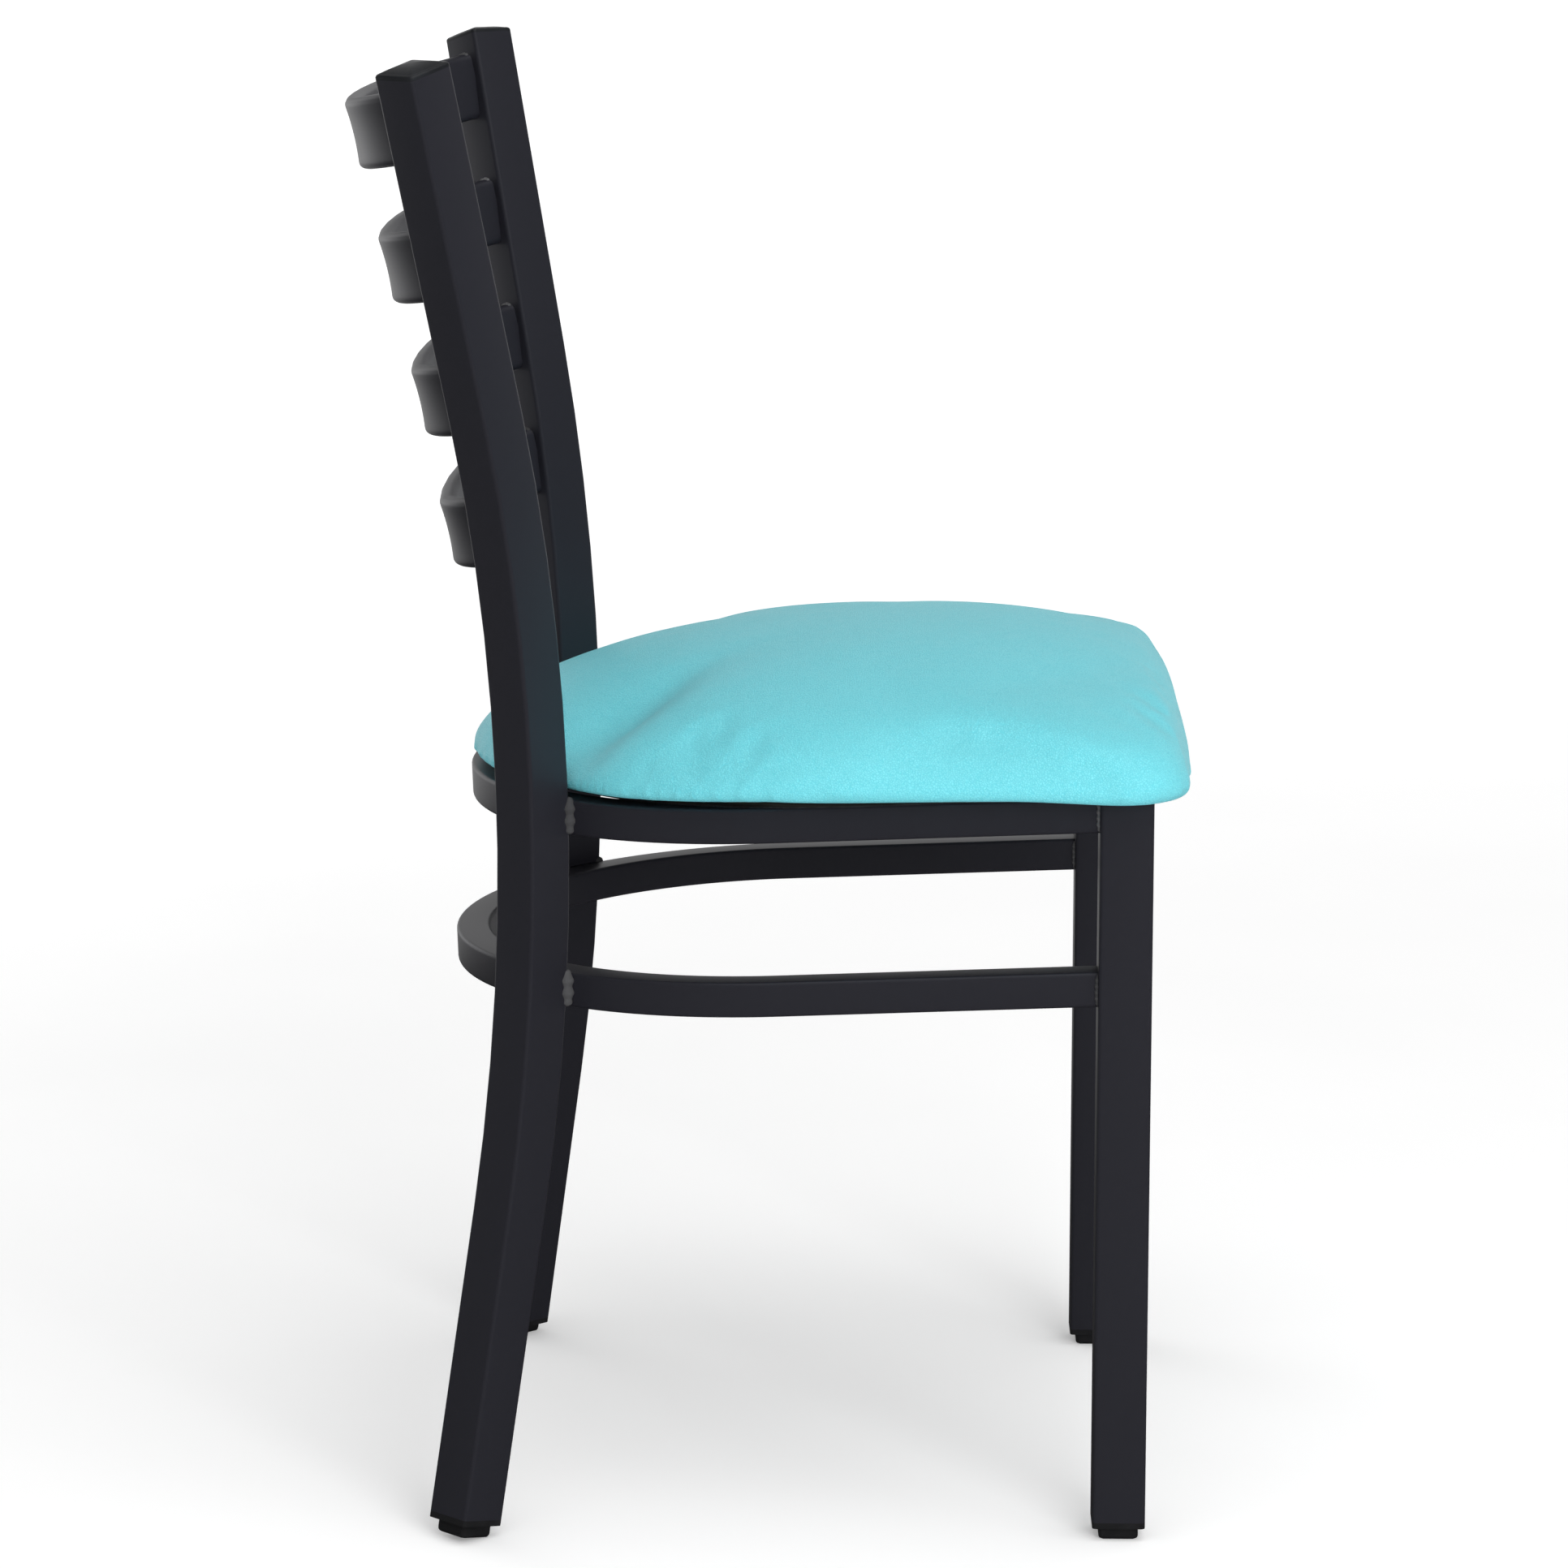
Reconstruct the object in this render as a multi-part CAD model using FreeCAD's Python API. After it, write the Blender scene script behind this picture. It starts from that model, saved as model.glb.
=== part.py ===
# Ladderback side chair: a welded steel tube frame with a padded seat.
# Units are millimetres, +Z is up and the chair faces -Y.
# The origin is on the floor, under the middle of the chair's overall box.
# Left and right are the sitter's: left is +X.

import FreeCAD, Part
import math
import os

from FreeCAD import Matrix, Placement, Rotation, Vector

os.makedirs("parts", exist_ok=True)

X_AXIS = Vector(1, 0, 0)
Y_AXIS = Vector(0, 1, 0)
Z_AXIS = Vector(0, 0, 1)
TOUCH = 0.001

# Square tube of the legs and rear posts
LEG_TUBE = 30.0
LEG_CORNER = 2.2
POST_BEVEL = 1.3
LEG_WALL = 1.5

# Square tube of the two horseshoe frames and the front rail
RAIL_TUBE = 20.0
RAIL_BEVEL = 1.2
RAIL_WALL = 1.5

# Flat tube of the back slats
SLAT_HEIGHT = 40.0
SLAT_THICK = 10.5
SLAT_BEVEL = 2.5
SLAT_WALL = 1.2

# Horseshoe frames: a rounded rear and straight sides to the front legs
HOOP_RADIUS = 189.5
SEAT_SIDE_BEND = 156.5
STRETCHER_SIDE_BEND = 181.0
REAR_BEND_HALF = 38.0
LEG_SETBACK = 173.2
HOOP_Y = -11.57
FRAME_TILT = 2.1
SEAT_FRAME_TOP = 422.4
STRETCHER_TOP = 323.5

# Rear posts: each is turned to face the middle of the horseshoe and bent outwards both ways
POST_ANGLE = 47.85
POST_BEND_RADIUS = 970.0
POST_BEND_HEIGHT = 386.0
POST_KICK = 12.0
POST_RAKE = 15.0
POST_TOP = 827.3

# Slats: a shallow middle curve with tighter ends, square to the posts
SLAT_NAMES = ("slat_top", "slat_upper", "slat_lower", "slat_bottom")
SLAT_DROP = 29.3
SLAT_PITCH = 75.67
SLAT_LEAN = 13.0
SLAT_MIDDLE_RADIUS = 1200.0
SLAT_MIDDLE_SHARE = 0.655
SLAT_SHIFT = 4.0
SLAT_REACH = 6.0

# Front cross rail under the seat
FRONT_RAIL_DROP = 0.6

# Domed caps in the tops of the posts
CAP_RISE = 5.6
CAP_LIP = 1.2
PLUG_DEPTH = 14.0
PLUG_CLEARANCE = 0.1

# Plastic glides in the feet
GLIDE_FLANGE = 3.5
GLIDE_DISC = 7.5
GLIDE_CHAMFER = 4.0
GLIDE_STEP = 1.0
GLIDE_SIDES = 20
GLIDE_WEAR = 0.35
GLIDE_PLUG = 18.0
FLOOR_SPAN = 1000.0
FLOOR_DEPTH = 100.0

# Seat: a board lies on the frame, and the foam and its cover are wrapped round it
SEAT_TILT = 0.6
PAD_LIFT = 6.6
VINYL_THICK = 1.2
DUST_COVER_THICK = 0.6
BOARD_THICK = 12.0
BOARD_MARGIN = 18.0
RIM_CLEARANCE = 0.6
PAD_SIDE_OVERHANG = 26.5
PAD_REAR_OVERHANG = 1.5
PAD_FRONT_OVERHANG = 22.8
PAD_CORNER = 60.0
PAD_CROWN = 69.5
PAD_SIDE_DRAW = 2.0
PAD_FRONT_BOW = 5.0
PAD_DIP_ANGLE = 41.2
PAD_DIP_HALF = 9.5
PAD_DIVISIONS = (4, 4, 4, 2, 5, 2)

# Tabs welded inside the seat frame, level with its top
TAB_THICK = 3.0
TAB_REACH = 42.0
TAB_WIDTH = 30.0
TAB_BEVEL = 4.0
TAB_HOLE_INSET = 14.0
FRONT_TAB_SHARE = 0.68
REAR_TAB_ANGLE = 24.0

# Weld beads
POST_BEAD_RADIUS = 4.6
LEG_BEAD_RADIUS = 3.0
BEAD_INSET = 1.0
BEAD_SHORT = 1.5
BEAD_SIDES = 8

# Screws that hold the board down on the tabs, and the inserts that take them
SCREW_RADIUS = 3.0
SCREW_HEAD_RADIUS = 6.5
SCREW_HEAD_HEIGHT = 3.2
SCREW_GRIP = 10.0
SCREW_CLEARANCE = 0.4
INSERT_RADIUS = 4.6
INSERT_FLANGE_RADIUS = 9.0
INSERT_FLANGE_THICK = 1.2
INSERT_LENGTH = 9.0
BAR_SIDES = 8


def rounded_rectangle(width, depth, radius):
    """A closed wire of four lines and four corner arcs, centred on the origin in the XY plane."""
    x = width / 2 - radius
    y = depth / 2 - radius
    diagonal = radius * math.sqrt(0.5)
    edges = []
    for sx, sy, turn in ((1, 1, 0), (-1, 1, 90), (-1, -1, 180), (1, -1, 270)):
        centre = Vector(sx * x, sy * y, 0)
        spin = Rotation(Z_AXIS, turn)
        start = centre + spin.multVec(Vector(radius, 0, 0))
        middle = centre + spin.multVec(Vector(diagonal, diagonal, 0))
        end = centre + spin.multVec(Vector(0, radius, 0))
        if edges:
            edges.append(Part.makeLine(edges[-1].lastVertex().Point, start))
        edges.append(Part.Arc(start, middle, end).toShape())
    edges.append(Part.makeLine(edges[-1].lastVertex().Point, edges[0].firstVertex().Point))
    return Part.Wire(edges)


def bevelled_rectangle(width, depth, bevel=0.0):
    """A closed wire of straight lines, square at its corners or with a narrow flat on each."""
    points = []
    for sx, sy in ((1, 1), (-1, 1), (-1, -1), (1, -1)):
        x, y = sx * width / 2, sy * depth / 2
        corner = [Vector(x, y - sy * bevel, 0), Vector(x - sx * bevel, y, 0)]
        if sx != sy:
            corner.reverse()
        points += corner if bevel else corner[:1]
    return Part.makePolygon(points + points[:1])


def tube_section(outer, width, depth, bevel, wall):
    """The ring of metal in a tube with a given outline, as a face in the XY plane.

    The wall keeps its thickness at the bevels, or is left square inside where they are narrow.
    """
    inner_bevel = bevel - (2 - math.sqrt(2)) * wall
    if inner_bevel < wall:
        inner_bevel = 0.0
    inner = bevelled_rectangle(width - 2 * wall, depth - 2 * wall, inner_bevel)
    return Part.Face(outer).cut(Part.Face(inner)).Faces[0]


def bent_section(width, depth, bevel, wall):
    """The section of a bent tube, with flats for its round corners to keep its bends light."""
    return tube_section(bevelled_rectangle(width, depth, bevel), width, depth, bevel, wall)


def rail_section():
    """The section of the two frames and of the front rail."""
    return bent_section(RAIL_TUBE, RAIL_TUBE, RAIL_BEVEL, RAIL_WALL)


def leg_section():
    """The section of a straight leg, with round corners."""
    outer = rounded_rectangle(LEG_TUBE, LEG_TUBE, LEG_CORNER)
    return tube_section(outer, LEG_TUBE, LEG_TUBE, POST_BEVEL, LEG_WALL)


def ring_of_sides(radius, sides, level=0.0):
    """A regular polygon round the Z axis, as a closed wire."""
    turns = [2 * math.pi * step / sides for step in range(sides)]
    points = [Vector(radius * math.cos(turn), radius * math.sin(turn), level) for turn in turns]
    return Part.makePolygon(points + points[:1])


def round_bar(radius, start, end, sides=BAR_SIDES):
    """A small round bar or hole as a prism of few sides, since such pieces are hidden or tiny."""
    along = end - start
    side = along.cross(X_AXIS if abs(along.x) < 0.7 * along.Length else Y_AXIS)
    section = Part.Face(ring_of_sides(radius, sides))
    section.Placement = frame_at(start, along, side)
    return section.extrude(along)


def upright_bar(radius, height, base):
    """A small round bar that stands on a point."""
    return round_bar(radius, base, base + Vector(0, 0, height))


def solid_section(width, depth, radius):
    """The filled outline of a rectangular bar, as a face in the XY plane."""
    return Part.Face(rounded_rectangle(width, depth, radius))


def frame_at(origin, along, towards):
    """A placement that carries local Z to along and local X to towards."""
    along = Vector(along).normalize()
    towards = Vector(towards).normalize()
    side = along.cross(towards)
    matrix = Matrix(
        towards.x, side.x, along.x, origin.x,
        towards.y, side.y, along.y, origin.y,
        towards.z, side.z, along.z, origin.z,
        0, 0, 0, 1,
    )
    return Placement(matrix)


def bent_bar(section, origin, along, towards, steps):
    """Carry a section along runs and bends that all lie in one plane.

    A step is ("run", length) or ("bend", radius, degrees). A bend turns towards the given
    side, or away from it when its degrees are negative.
    """
    face = section.copy()
    face.Placement = frame_at(origin, along, towards)
    point = Vector(origin)
    pieces = []
    for step in steps:
        if step[0] == "run":
            move = Vector(along).multiply(step[1])
            pieces.append(face.extrude(move))
            face = face.translated(move)
            point = point + move
            continue
        radius, degrees = step[1], step[2]
        sign = 1 if degrees > 0 else -1
        centre = point + Vector(towards).multiply(sign * radius)
        axis = Vector(along).cross(towards).multiply(sign)
        pieces.append(face.revolve(centre, axis, abs(degrees)))
        face = face.rotated(centre, axis, abs(degrees))
        spin = Rotation(axis, abs(degrees))
        point = centre + spin.multVec(point - centre)
        along = spin.multVec(along)
        towards = spin.multVec(towards)
    whole = pieces[0]
    if len(pieces) > 1:
        whole = whole.multiFuse(pieces[1:]).removeSplitter()
    return whole.Solids[0]


def mirrored(shape):
    """The same piece on the other side of the chair."""
    return shape.mirror(Vector(0, 0, 0), X_AXIS)


def save(name, shape):
    """Write one piece, or a group of like pieces, to its own file."""
    if not shape.isValid():
        raise ValueError(name + " is not a valid solid")
    shape.exportStep("parts/" + name + ".step")


def save_pair(name, left):
    """Write a left piece and its mirror image."""
    save(name + "_left", left)
    save(name + "_right", mirrored(left))


# The tilted plane of the seat and stretcher frames, and the seat's own flatter one
TILT = Rotation(X_AXIS, -FRAME_TILT)
SEAT_TURN = Rotation(X_AXIS, -SEAT_TILT)


def tilted(shape, top):
    """Move a shape from its own level plane to the tilted plane of a frame."""
    moved = shape.copy()
    moved.Placement = Placement(Vector(0, HOOP_Y, top), TILT).multiply(moved.Placement)
    return moved


def seated(shape):
    """Move a shape of the seat from its own level plane to its place on the frame."""
    moved = shape.copy()
    seat = Placement(Vector(0, HOOP_Y, SEAT_FRAME_TOP + PAD_LIFT), SEAT_TURN)
    moved.Placement = seat.multiply(moved.Placement)
    return moved


def plane_height(top, y):
    """Height of a frame's tilted top plane at a given Y."""
    return top - math.tan(math.radians(FRAME_TILT)) * (y - HOOP_Y)


# Where the posts stand
POST_OUT = Vector(math.sin(math.radians(POST_ANGLE)), math.cos(math.radians(POST_ANGLE)), 0)
POST_SIDE = Vector(math.cos(math.radians(POST_ANGLE)), -math.sin(math.radians(POST_ANGLE)), 0)
POST_DISTANCE = HOOP_RADIUS + RAIL_TUBE / 2 + LEG_TUBE / 2
HOOP_CENTRE = Vector(0, HOOP_Y, 0)


def post_offset(z):
    """How far the post's middle line has moved outwards from its bend at height z."""
    low = POST_BEND_HEIGHT - POST_BEND_RADIUS * math.sin(math.radians(POST_KICK))
    high = POST_BEND_HEIGHT + POST_BEND_RADIUS * math.sin(math.radians(POST_RAKE))
    reach = min(max(z, low), high) - POST_BEND_HEIGHT
    offset = POST_BEND_RADIUS - math.sqrt(POST_BEND_RADIUS ** 2 - reach ** 2)
    if z < low:
        offset += (low - z) * math.tan(math.radians(POST_KICK))
    if z > high:
        offset += (z - high) * math.tan(math.radians(POST_RAKE))
    return offset


def post_centre(z):
    """The left post's middle point at height z."""
    flat = HOOP_CENTRE + Vector(POST_OUT).multiply(POST_DISTANCE + post_offset(z))
    return Vector(flat.x, flat.y, z)


def post_direction(z):
    """The left post's upward direction in one of its straight ends."""
    lean = POST_RAKE if z > POST_BEND_HEIGHT else -POST_KICK
    lean = math.radians(lean)
    return Vector(POST_OUT).multiply(math.sin(lean)) + Vector(Z_AXIS).multiply(math.cos(lean))


# The foot ends stand on the glides. A rear glide leans, so it stands on its sole's worn edge
GLIDE_DROP = GLIDE_FLANGE + GLIDE_DISC
GLIDE_SOLE_RADIUS = LEG_TUBE / 2 - GLIDE_STEP - GLIDE_CHAMFER
GLIDE_LEAN = math.radians(POST_KICK)
REAR_FOOT = GLIDE_DROP * math.cos(GLIDE_LEAN) + GLIDE_SOLE_RADIUS * math.sin(GLIDE_LEAN) - GLIDE_WEAR
FRONT_FOOT = GLIDE_DROP


def build_post(section):
    """The left rear post, from its foot to its top."""
    low = POST_BEND_HEIGHT - POST_BEND_RADIUS * math.sin(math.radians(POST_KICK))
    high = POST_BEND_HEIGHT + POST_BEND_RADIUS * math.sin(math.radians(POST_RAKE))
    foot = post_centre(REAR_FOOT)
    up = post_direction(0)
    towards_bend = up.cross(POST_SIDE)
    lower_run = (low - REAR_FOOT) / math.cos(math.radians(POST_KICK))
    upper_run = (POST_TOP - high) / math.cos(math.radians(POST_RAKE))
    steps = (
        ("run", lower_run),
        ("bend", POST_BEND_RADIUS, POST_KICK + POST_RAKE),
        ("run", upper_run),
    )
    return bent_bar(section, foot, up, towards_bend, steps)


post_left = build_post(bent_section(LEG_TUBE, LEG_TUBE, POST_BEVEL, LEG_WALL))
post_body = build_post(solid_section(LEG_TUBE, LEG_TUBE, LEG_CORNER))
save_pair("rear_post", post_left)

# Front legs: upright, cut level just under the seat frame's top plane
LEG_Y = HOOP_Y - LEG_SETBACK - LEG_TUBE / 2
LEG_TOP = plane_height(SEAT_FRAME_TOP, LEG_Y + LEG_TUBE / 2) - FRONT_RAIL_DROP


def build_front_leg(section):
    """The left front leg as one straight upright run."""
    foot = Vector(HOOP_RADIUS, LEG_Y, FRONT_FOOT)
    return bent_bar(section, foot, Z_AXIS, X_AXIS, (("run", LEG_TOP - FRONT_FOOT),))


leg_left = build_front_leg(leg_section())
leg_body = build_front_leg(solid_section(LEG_TUBE, LEG_TUBE, LEG_CORNER))
save_pair("front_leg", leg_left)


def build_hoop(top, side_bend):
    """A horseshoe frame whose outer wall touches the posts and whose ends meet the front legs.

    Its rear is three tangent arcs. The side arcs keep the outer wall against the posts, and
    the flatter rear arc joins them between the posts.
    """
    contact_y = HOOP_Y + (HOOP_RADIUS + RAIL_TUBE / 2) * POST_OUT.y
    upper = plane_height(top, contact_y)
    lower = upper - RAIL_TUBE
    nearest = min(max(POST_BEND_HEIGHT, lower), upper)
    reach = HOOP_RADIUS + post_offset(nearest)
    spare = HOOP_RADIUS - side_bend
    rear_bend = side_bend + spare / math.sin(math.radians(REAR_BEND_HALF))
    touch = reach - side_bend - spare * POST_OUT.x
    bend_start = touch / POST_OUT.y
    run = LEG_SETBACK + LEG_TUBE / 2 + bend_start
    start = Vector(HOOP_RADIUS, bend_start - run, -RAIL_TUBE / 2)
    steps = (
        ("run", run),
        ("bend", side_bend, 90 - REAR_BEND_HALF),
        ("bend", rear_bend, 2 * REAR_BEND_HALF),
        ("bend", side_bend, 90 - REAR_BEND_HALF),
        ("run", run),
    )
    hoop = tilted(bent_bar(rail_section(), start, Y_AXIS, Vector(-1, 0, 0), steps), top)
    for body in (leg_body, mirrored(leg_body), post_body, mirrored(post_body)):
        hoop = hoop.cut(body)
    return max(hoop.Solids, key=lambda solid: solid.Volume)


seat_frame = build_hoop(SEAT_FRAME_TOP, SEAT_SIDE_BEND)
stretcher = build_hoop(STRETCHER_TOP, STRETCHER_SIDE_BEND)
save("seat_frame_hoop", seat_frame)
save("stretcher_hoop", stretcher)

# Front rail between the front legs
front_rail_length = 2 * HOOP_RADIUS - LEG_TUBE
front_rail_start = Vector(-front_rail_length / 2, LEG_Y, LEG_TOP - RAIL_TUBE / 2)
rail_steps = [("run", front_rail_length)]
front_rail = bent_bar(rail_section(), front_rail_start, X_AXIS, Z_AXIS, rail_steps)
save("seat_front_rail", front_rail)


def slat_end(height):
    """Where a slat's middle line meets the left post, with its inward and forward directions."""
    face_centre = post_centre(height) - Vector(POST_SIDE).multiply(LEG_TUBE / 2)
    end = face_centre - Vector(POST_OUT).multiply(SLAT_SHIFT)
    lean = math.radians(SLAT_LEAN)
    turn = math.atan(math.tan(math.radians(POST_ANGLE)) * math.cos(lean))
    rear = Vector(0, math.cos(lean), -math.sin(lean))
    direction = Vector(-math.cos(turn), 0, 0) + Vector(rear).multiply(math.sin(turn))
    forwards = Vector(-math.sin(turn), 0, 0) - Vector(rear).multiply(math.cos(turn))
    return end, direction, forwards


def build_slat(height):
    """One back slat between the inner rear faces of the posts, in a plane that leans back."""
    end, direction, forwards = slat_end(height)
    end_angle = math.acos(-direction.x)
    middle_half = SLAT_MIDDLE_SHARE * end.x
    middle_angle = math.asin(middle_half / SLAT_MIDDLE_RADIUS)
    end_radius = (end.x - middle_half) / (math.sin(end_angle) - math.sin(middle_angle))
    end_turn = math.degrees(end_angle - middle_angle)
    section = bent_section(SLAT_THICK, SLAT_HEIGHT, SLAT_BEVEL, SLAT_WALL)
    start = end - Vector(direction).multiply(SLAT_REACH)
    steps = (
        ("run", SLAT_REACH),
        ("bend", end_radius, end_turn),
        ("bend", SLAT_MIDDLE_RADIUS, 2 * math.degrees(middle_angle)),
        ("bend", end_radius, end_turn),
        ("run", SLAT_REACH),
    )
    slat = bent_bar(section, start, direction, forwards, steps)
    slat = slat.cut(post_body).cut(mirrored(post_body))
    return max(slat.Solids, key=lambda solid: solid.Volume)


SLAT_HEIGHTS = [POST_TOP - SLAT_DROP - place * SLAT_PITCH for place in range(len(SLAT_NAMES))]
slats = [build_slat(height) for height in SLAT_HEIGHTS]
for name, slat in zip(SLAT_NAMES, slats):
    save(name, slat)


def build_plug(depth):
    """The block that grips the inside of a leg tube, hanging down from the origin."""
    inside = LEG_TUBE - 2 * LEG_WALL - 2 * PLUG_CLEARANCE
    return Part.Face(bevelled_rectangle(inside, inside)).extrude(Vector(0, 0, -depth))


def build_cap():
    """A pillow-shaped cap: a shallow dome with four faces that meet in soft ridges, on a plug."""
    half = LEG_TUBE / 2
    dome_radius = (half ** 2 + (CAP_RISE - CAP_LIP) ** 2) / (2 * (CAP_RISE - CAP_LIP))
    length = 2 * LEG_TUBE
    vaults = []
    for axis in (X_AXIS, Y_AXIS):
        start = Vector(0, 0, CAP_RISE - dome_radius) - Vector(axis).multiply(length / 2)
        vaults.append(Part.makeCylinder(dome_radius, length, start, axis))
    block = solid_section(LEG_TUBE, LEG_TUBE, LEG_CORNER).extrude(Vector(0, 0, CAP_RISE + 1))
    dome = block.common(vaults[0]).common(vaults[1])
    return dome.fuse(build_plug(PLUG_DEPTH)).removeSplitter().Solids[0]


def build_glide():
    """A foot glide with its flange's top at the origin: a plug, a square flange and a bevelled disc."""
    flange = solid_section(LEG_TUBE, LEG_TUBE, LEG_CORNER).extrude(Vector(0, 0, -GLIDE_FLANGE))
    widest = LEG_TUBE / 2 - GLIDE_STEP
    disc = round_bar(widest, Vector(0, 0, -GLIDE_FLANGE), Vector(0, 0, -GLIDE_DROP), GLIDE_SIDES)
    sole_edges = [edge for edge in disc.Edges if abs(edge.CenterOfMass.z + GLIDE_DROP) < TOUCH]
    dome = disc.makeChamfer(GLIDE_CHAMFER, sole_edges)
    plug = build_plug(GLIDE_PLUG).translated(Vector(0, 0, GLIDE_PLUG))
    return flange.multiFuse([dome, plug]).removeSplitter().Solids[0]


def placed(shape, origin, up, side):
    """Stand a piece on a tube's end, with its own Z along the tube."""
    moved = shape.copy()
    moved.Placement = frame_at(origin, up, side)
    return moved


top_end = post_centre(POST_TOP)
save_pair("post_cap", placed(build_cap(), top_end, post_direction(POST_TOP), POST_SIDE))

floor_corner = Vector(-FLOOR_SPAN / 2, -FLOOR_SPAN / 2, -FLOOR_DEPTH)
floor_block = Part.makeBox(FLOOR_SPAN, FLOOR_SPAN, FLOOR_DEPTH, floor_corner)
rear_glide = placed(build_glide(), post_centre(REAR_FOOT), post_direction(0), POST_SIDE)
save_pair("rear_glide", rear_glide.cut(floor_block).Solids[0])
front_glide = placed(build_glide(), Vector(HOOP_RADIUS, LEG_Y, FRONT_FOOT), Z_AXIS, X_AXIS)
save_pair("front_glide", front_glide.cut(floor_block).Solids[0])

# Height of the board's top above the seat frame's top plane
BOARD_TOP = DUST_COVER_THICK + BOARD_THICK


# Each row is a share of the pad's height, how far the side, rear and front draw in there,
# and how deep the pad dips in beside each post
PAD_PROFILE = (
    (0.00, 5.0, 4.0, 5.0, 1.5),
    (0.08, 1.0, 0.5, 1.0, 4.5),
    (0.20, 0.3, 5.0, 0.0, 5.5),
    (0.35, 7.0, 18.0, 1.0, 8.5),
    (0.50, 24.0, 39.0, 3.0, 11.0),
    (0.65, 52.0, 64.0, 8.0, 12.0),
    (0.80, 91.0, 97.0, 24.0, 9.0),
    (0.92, 137.0, 150.0, 53.0, 4.0),
    (1.00, 201.0, 259.0, 110.0, 0.5),
)


def pad_row(level, margin, insets):
    """Points of the pad's plan at one level: round behind, a dip at each post, a bowed front.

    Its arcs are cut into short lines, so that flat faces between the rows keep the pad light.
    """
    side_inset, rear_inset, front_inset, dip = insets
    half = HOOP_RADIUS + RAIL_TUBE / 2 + PAD_SIDE_OVERHANG - side_inset - margin
    rear = HOOP_RADIUS + PAD_REAR_OVERHANG - rear_inset - margin
    front = front_inset + margin - LEG_SETBACK - LEG_TUBE - PAD_FRONT_OVERHANG
    centre = rear - half
    corner = min(PAD_CORNER, 0.8 * (centre - front), 0.8 * half)

    def around(degrees, depth=0.0):
        angle = math.radians(degrees)
        reach = half - depth
        return Vector(reach * math.sin(angle), centre + reach * math.cos(angle), level)

    dip_start = PAD_DIP_ANGLE - PAD_DIP_HALF
    dip_end = PAD_DIP_ANGLE + PAD_DIP_HALF
    inner = half - corner
    slant = corner * math.sqrt(0.5)
    arcs = (
        (around(0), around(dip_start / 2), around(dip_start)),
        (around(dip_start), around(PAD_DIP_ANGLE, dip), around(dip_end)),
        (around(dip_end), around((dip_end + 90) / 2), around(90)),
        (
            around(90),
            Vector(half - PAD_SIDE_DRAW, (centre + front + corner) / 2, level),
            Vector(half, front + corner, level),
        ),
        (
            Vector(half, front + corner, level),
            Vector(inner + slant, front + corner - slant, level),
            Vector(inner, front, level),
        ),
        (
            Vector(inner, front, level),
            Vector(inner / 2, front - PAD_FRONT_BOW * 0.75, level),
            Vector(0, front - PAD_FRONT_BOW, level),
        ),
    )
    half_row = []
    for points, count in zip(arcs, PAD_DIVISIONS):
        half_row += Part.Arc(*points).toShape().discretize(count + 1)[:-1]
    half_row.append(arcs[-1][-1])
    return half_row + [Vector(-point.x, point.y, point.z) for point in reversed(half_row[1:-1])]


def closed_outline(points):
    """A closed wire through a row of points."""
    return Part.makePolygon(points + points[:1])


def flat_skin(lower, upper):
    """Flat faces that join two rows of as many points."""
    faces = []
    for place, (low, high) in enumerate(zip(lower, upper)):
        next_low, next_high = lower[place - 1], upper[place - 1]
        faces.append(Part.Face(closed_outline([next_low, low, high])))
        faces.append(Part.Face(closed_outline([next_low, high, next_high])))
    return faces


def pad_faces(margin):
    """The faces of the crowned pad, drawn in all round by a margin: first its flat underside."""
    height = PAD_CROWN - 2 * margin
    rows = [pad_row(margin + row[0] * height, margin, row[1:]) for row in PAD_PROFILE]
    sides = []
    for lower, upper in zip(rows, rows[1:]):
        sides += flat_skin(lower, upper)
    return Part.Face(closed_outline(rows[0])), sides + [Part.Face(closed_outline(rows[-1]))]


def solid_of(faces):
    """A solid from the faces of its closed surface."""
    shell = Part.Shell(faces)
    shell.sewShape()
    solid = Part.Solid(shell)
    if solid.Volume < 0:
        solid.reverse()
    return solid


def base_outline(level, margin):
    """The outline of the pad's underside, drawn in by a margin."""
    return closed_outline(pad_row(level, margin, PAD_PROFILE[0][1:]))


def pad_layer(level, margin, thick):
    """A flat layer of the seat with the plan of the pad's underside."""
    return Part.Face(base_outline(level, margin)).extrude(Vector(0, 0, thick))


def build_cover():
    """The cover: a thin skin over the foam that turns in below to the board's edge."""
    outer_base, outer_faces = pad_faces(0)
    inner_base, inner_faces = pad_faces(VINYL_THICK)
    rim = BOARD_MARGIN - RIM_CLEARANCE
    opening_low = base_outline(0, rim)
    opening_high = base_outline(VINYL_THICK, rim)
    under = outer_base.cut(Part.Face(opening_low))
    over = inner_base.cut(Part.Face(opening_high))
    edge = opening_low.extrude(Vector(0, 0, VINYL_THICK))
    return solid_of(outer_faces + inner_faces + under.Faces + over.Faces + edge.Faces)


def build_foam():
    """The foam: what the cover encloses, less the board."""
    base, faces = pad_faces(VINYL_THICK)
    foam = seated(solid_of([base] + faces)).cut(board)
    return max(foam.Solids, key=lambda solid: solid.Volume)


board = tilted(pad_layer(DUST_COVER_THICK, BOARD_MARGIN, BOARD_THICK), SEAT_FRAME_TOP)
foam = build_foam()
dust_cover = tilted(pad_layer(0, BOARD_MARGIN, DUST_COVER_THICK), SEAT_FRAME_TOP)

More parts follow.
